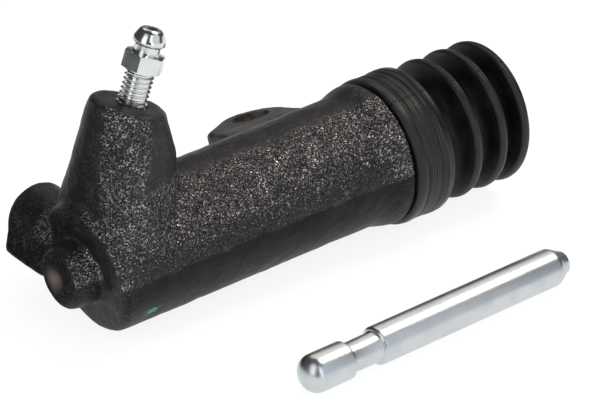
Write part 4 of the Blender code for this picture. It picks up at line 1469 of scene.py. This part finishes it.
@dataclass
class ReturnSpring:
    """The conical coil between the piston's nose and the bore's floor."""

    nose_end: float = -29.0 * MM
    bore_floor: float = -84 * MM
    seat_gap: float = 0.3 * MM
    wire: float = 0.6 * MM
    wire_sides: int = 10
    small_radius: float = 4.2 * MM
    large_radius: float = 8.6 * MM
    turns: float = 7.5
    steps_per_turn: int = 28
    closed_share: float = 0.12
    closed_pitch: float = 2.2
    settling: float = 0.16
    travel: float = 35 * MM

    def middle(self, share: float) -> Vector:
        """Where the wire's middle runs: closed coils at both ends, open ones between them.

        Args:
            share: The share of the wire from the nose to the floor.

        Returns:
            The place in the cylinder's axes.
        """
        start = self.nose_end - self.wire - self.seat_gap
        end = self.bore_floor + self.wire + self.seat_gap
        advance = min(max((share - self.closed_share) / (1 - 2 * self.closed_share), 0.0), 1.0)
        settle = self.settling * self.wire * self.turns * share
        angle = math.tau * self.turns * share
        radius = self.small_radius + (self.large_radius - self.small_radius) * share
        x = start + (end - start) * advance + (self.closed_pitch * self.wire + settle) * (share - advance)
        return Vector((x, radius * math.cos(angle), radius * math.sin(angle)))

    def coil(self) -> Solid:
        """Draw the wire straight along X, one step a metre, and bend it onto the coil.

        Returns:
            The closed wire.
        """
        solid = bmesh.new()
        count = round(self.turns * self.steps_per_turn)
        across = Matrix.Rotation(-math.pi / 2, 4, "Y")
        bmesh.ops.create_circle(solid, segments=self.wire_sides, radius=self.wire, matrix=across)
        straight = {"cent": (0, 0, 0), "axis": (1, 0, 0), "dvec": (1, 0, 0), "angle": 0.0, "use_merge": False}
        bmesh.ops.spin(solid, geom=solid.verts[:] + solid.edges[:], steps=count, **straight)
        bmesh.ops.holes_fill(solid, edges=[edge for edge in solid.edges if edge.is_boundary])
        for vertex in solid.verts:
            step = round(vertex.co.x)
            middle = self.middle(step / count)
            along = (self.middle((step + 0.5) / count) - self.middle((step - 0.5) / count)).normalized()
            outward = Vector((0, middle.y, middle.z)).normalized()
            outward = (outward - along * outward.dot(along)).normalized()
            vertex.co = middle + outward * vertex.co.y + along.cross(outward) * vertex.co.z
        return tidied(solid)

    def build(self, steel: Material) -> Piece:
        """Model the spring.

        Args:
            steel: Its finish.

        Returns:
            The piece.
        """
        piece = as_object(self.coil(), "coil_spring", CYLINDER_AXES)
        piece.data.materials.append(steel)
        finish_piece(piece, Body.CYLINDER, "return_spring", 35.0)
        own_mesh(piece)
        return piece


@dataclass
class Internals:
    """The frame's own piston and cup, with the finish that each one gets."""

    finishes: dict[str, Material]

    def dress(self) -> None:
        """Give each node its one material."""
        for node, material in self.finishes.items():
            slots = frame["nodes"][node].data.materials
            slots.clear()
            slots.append(material)
            log.info("%s: dressed in %s", node, material.name)


@dataclass(frozen=True)
class Lamp:
    """A soft rectangular light a metre away that faces the cylinder; compass and height are in degrees."""

    name: str
    compass: float
    height: float
    size: Span
    radiance: float
    colour: str

    def hang(self) -> None:
        """Put the light in the scene."""
        lamp = bpy.data.lights.new(self.name, "AREA")
        lamp.shape = "RECTANGLE"
        lamp.size, lamp.size_y = self.size
        lamp.energy = self.radiance * math.pi * self.size[0] * self.size[1]
        lamp.color = linear(self.colour)[:3]
        turn, lift = math.radians(self.compass), math.radians(self.height)
        place = Vector((math.cos(turn) * math.cos(lift), math.sin(turn) * math.cos(lift), math.sin(lift)))
        holder = bpy.data.objects.new(self.name, lamp)
        holder.location = place
        holder.rotation_euler = (-place).to_track_quat("-Z", "Y").to_euler()
        bpy.context.scene.collection.objects.link(holder)


@dataclass
class Studio:
    """The pale table, the soft lights in a darker room, and the camera."""

    camera_place: Vector = Vector((-0.6288, -0.8111, 0.5953))
    azimuth: float = math.radians(-37.6)
    elevation: float = math.radians(29.2)
    lens: float = 268.92
    sensor: float = 36.0
    room_radius: float = 3.6
    table_half: float = 4.0
    table_drop: float = 0.05 * MM
    # The dark card that paints the table's shadow into reflections.
    shadow_flag_size: Span = (0.24, 0.3)
    shadow_flag_place: Point = (-0.19, 0.17, 0.3 * MM)
    backdrop: str = "#f4f4f4"
    backdrop_strength: float = 0.5
    lamps: tuple[Lamp, ...] = (
        Lamp("overhead", -8.6, 58.0, (0.32, 0.36), 10.0, "#fff6ec"),
        Lamp("ceiling", 38.0, 49.0, (1.1, 0.75), 1.05, "#fffcf8"),
        Lamp("left_strip", -164.5, 32.0, (0.5, 1.0), 1.8, "#fbfcff"),
        Lamp("front_right", -76.0, 26.0, (1.2, 1.0), 0.9, "#f0f1f6"),
        Lamp("front_edge", -106.0, 28.0, (0.09, 1.0), 5.0, "#ffffff"),
    )

    def plain(self, name: str, colour: str, roughness: float, glow: float, reflects: float = 0.0) -> Material:
        """A plain matt finish for what stands round the object.

        Args:
            name: Its name.
            colour: Its colour.
            roughness: Its roughness.
            glow: How bright it is by itself.
            reflects: The share of the colour that the lamps add to.

        Returns:
            The material.
        """
        shade = [reflects * part for part in linear(colour)[:3]]
        inputs = {"Base Color": (*shade, 1.0), "Roughness": roughness, "Specular IOR Level": 0.0}
        return Recipe(name).shaded({**inputs, "Emission Color": colour, "Emission Strength": glow})

    def stand(self, solid: Solid, name: str, finish: Material, mirrored: bool) -> None:
        """Stage what stands round the object.

        Args:
            solid: Its mesh.
            name: Its name.
            finish: Its material.
            mirrored: Whether only glossy faces see it.
        """
        made = as_object(solid, name)
        made.data.materials.append(finish)
        if mirrored:
            made.visible_camera = made.visible_shadow = made.visible_diffuse = False

    def room(self) -> Solid:
        """A dim dome that only reflections see, so that glossy and plated faces mirror a darker room.

        Returns:
            The dome.
        """
        arc = rounded((0.0, 0.0), self.room_radius, 90, 0, 12)
        dome = bmesh.new()
        points = [dome.verts.new((radius, 0.0, height)) for height, radius in arc]
        edges = [dome.edges.new(pair) for pair in zip(points, points[1:])]
        whole = {"cent": (0, 0, 0), "axis": (0, 0, 1), "angle": math.tau, "steps": 48, "use_merge": True}
        bmesh.ops.spin(dome, geom=points + edges, **whole)
        return tidied(dome)

    def sheet(self, size: Span, place: Point) -> Solid:
        """A flat sheet.

        Args:
            size: Its width and depth.
            place: Its middle.

        Returns:
            The mesh.
        """
        made = bmesh.new()
        bmesh.ops.create_grid(made, x_segments=1, y_segments=1, size=0.5)
        bmesh.ops.scale(made, vec=(*size, 1.0), verts=made.verts)
        bmesh.ops.translate(made, verts=made.verts, vec=place)
        return made

    def build(self) -> None:
        """Set the table, the room, the dark card of painted table shadow that only reflections see, the
        lights and the camera.
        """
        table = self.sheet((2 * self.table_half, 2 * self.table_half), (0, 0, -self.table_drop))
        self.stand(table, "table", self.plain("white_table_sheet", "#f6f7f6", 0.9, 0.93, 0.22), False)
        self.stand(self.room(), "dim_room", self.plain("dim_room_wall", "#454648", 1.0, 1.0), True)
        # Painted shadow: a dark card on the table, seen only in reflections, stands in for the object's
        # shadow behind and left of it.
        shadow_flag = self.sheet(self.shadow_flag_size, self.shadow_flag_place)
        self.stand(shadow_flag, "painted_shadow_flag", self.plain("painted_shadow_card", "#2a2a2b", 1.0, 1.0), True)
        for lamp in self.lamps:
            lamp.hang()
        world = bpy.data.worlds.new("studio")
        world.use_nodes = True
        backdrop = world.node_tree.nodes["Background"]
        backdrop.inputs["Color"].default_value = linear(self.backdrop)
        backdrop.inputs["Strength"].default_value = self.backdrop_strength
        bpy.context.scene.world = world
        bpy.context.scene.view_settings.view_transform = "Standard"
        self.aim()

    def aim(self) -> None:
        """Place the camera at the photograph's viewing angle."""
        sin_a, cos_a = math.sin(self.azimuth), math.cos(self.azimuth)
        sin_e, cos_e = math.sin(self.elevation), math.cos(self.elevation)
        back = Vector((sin_a * cos_e, -cos_a * cos_e, sin_e))
        right = Vector((cos_a, sin_a, 0.0))
        up = Vector((-sin_a * sin_e, cos_a * sin_e, cos_e))
        eye = bpy.data.cameras.new("camera")
        eye.lens = self.lens
        eye.sensor_width = self.sensor
        holder = bpy.data.objects.new("camera", eye)
        holder.matrix_world = axes_at(self.camera_place, right, up, back)
        bpy.context.scene.collection.objects.link(holder)
        bpy.context.scene.camera = holder


def main() -> None:
    """Build the studio and every piece in order."""
    logging.basicConfig(level=logging.INFO, format="%(name)s: %(message)s")
    Studio().build()
    casting, screw, rod = CastBody(), BleederScrew(), PushRod()
    casting.build(PaintedSandCasting().make(), CutIron().make())
    BellowsBoot().build(MouldedRubber(seam=math.radians(66)).make())
    up = CYLINDER_AXES.to_3x3() @ -casting.tower_axes().col[0].xyz
    bright = ZincPlate("zinc_plated_bleeder_steel", up, "#dadbd8", "#cdd3d5")
    screw.build(bright.make(), casting.tower_axes())
    satin = ZincPlate("zinc_plated_rod_steel", rod.axis(), "#c8cbcd", "#bfc6cb", roughness=(0.28, 0.35))
    rod.build(satin.make())
    ReturnSpring().build(DrawnWire().make())
    cup_rubber = MouldedRubber(name="moulded_cup_rubber", roughness=(0.24, 0.38)).make()
    Internals({"piston": TurnedAluminium().make(), "piston_cup": cup_rubber}).dress()


if __name__ == "__main__":
    main()
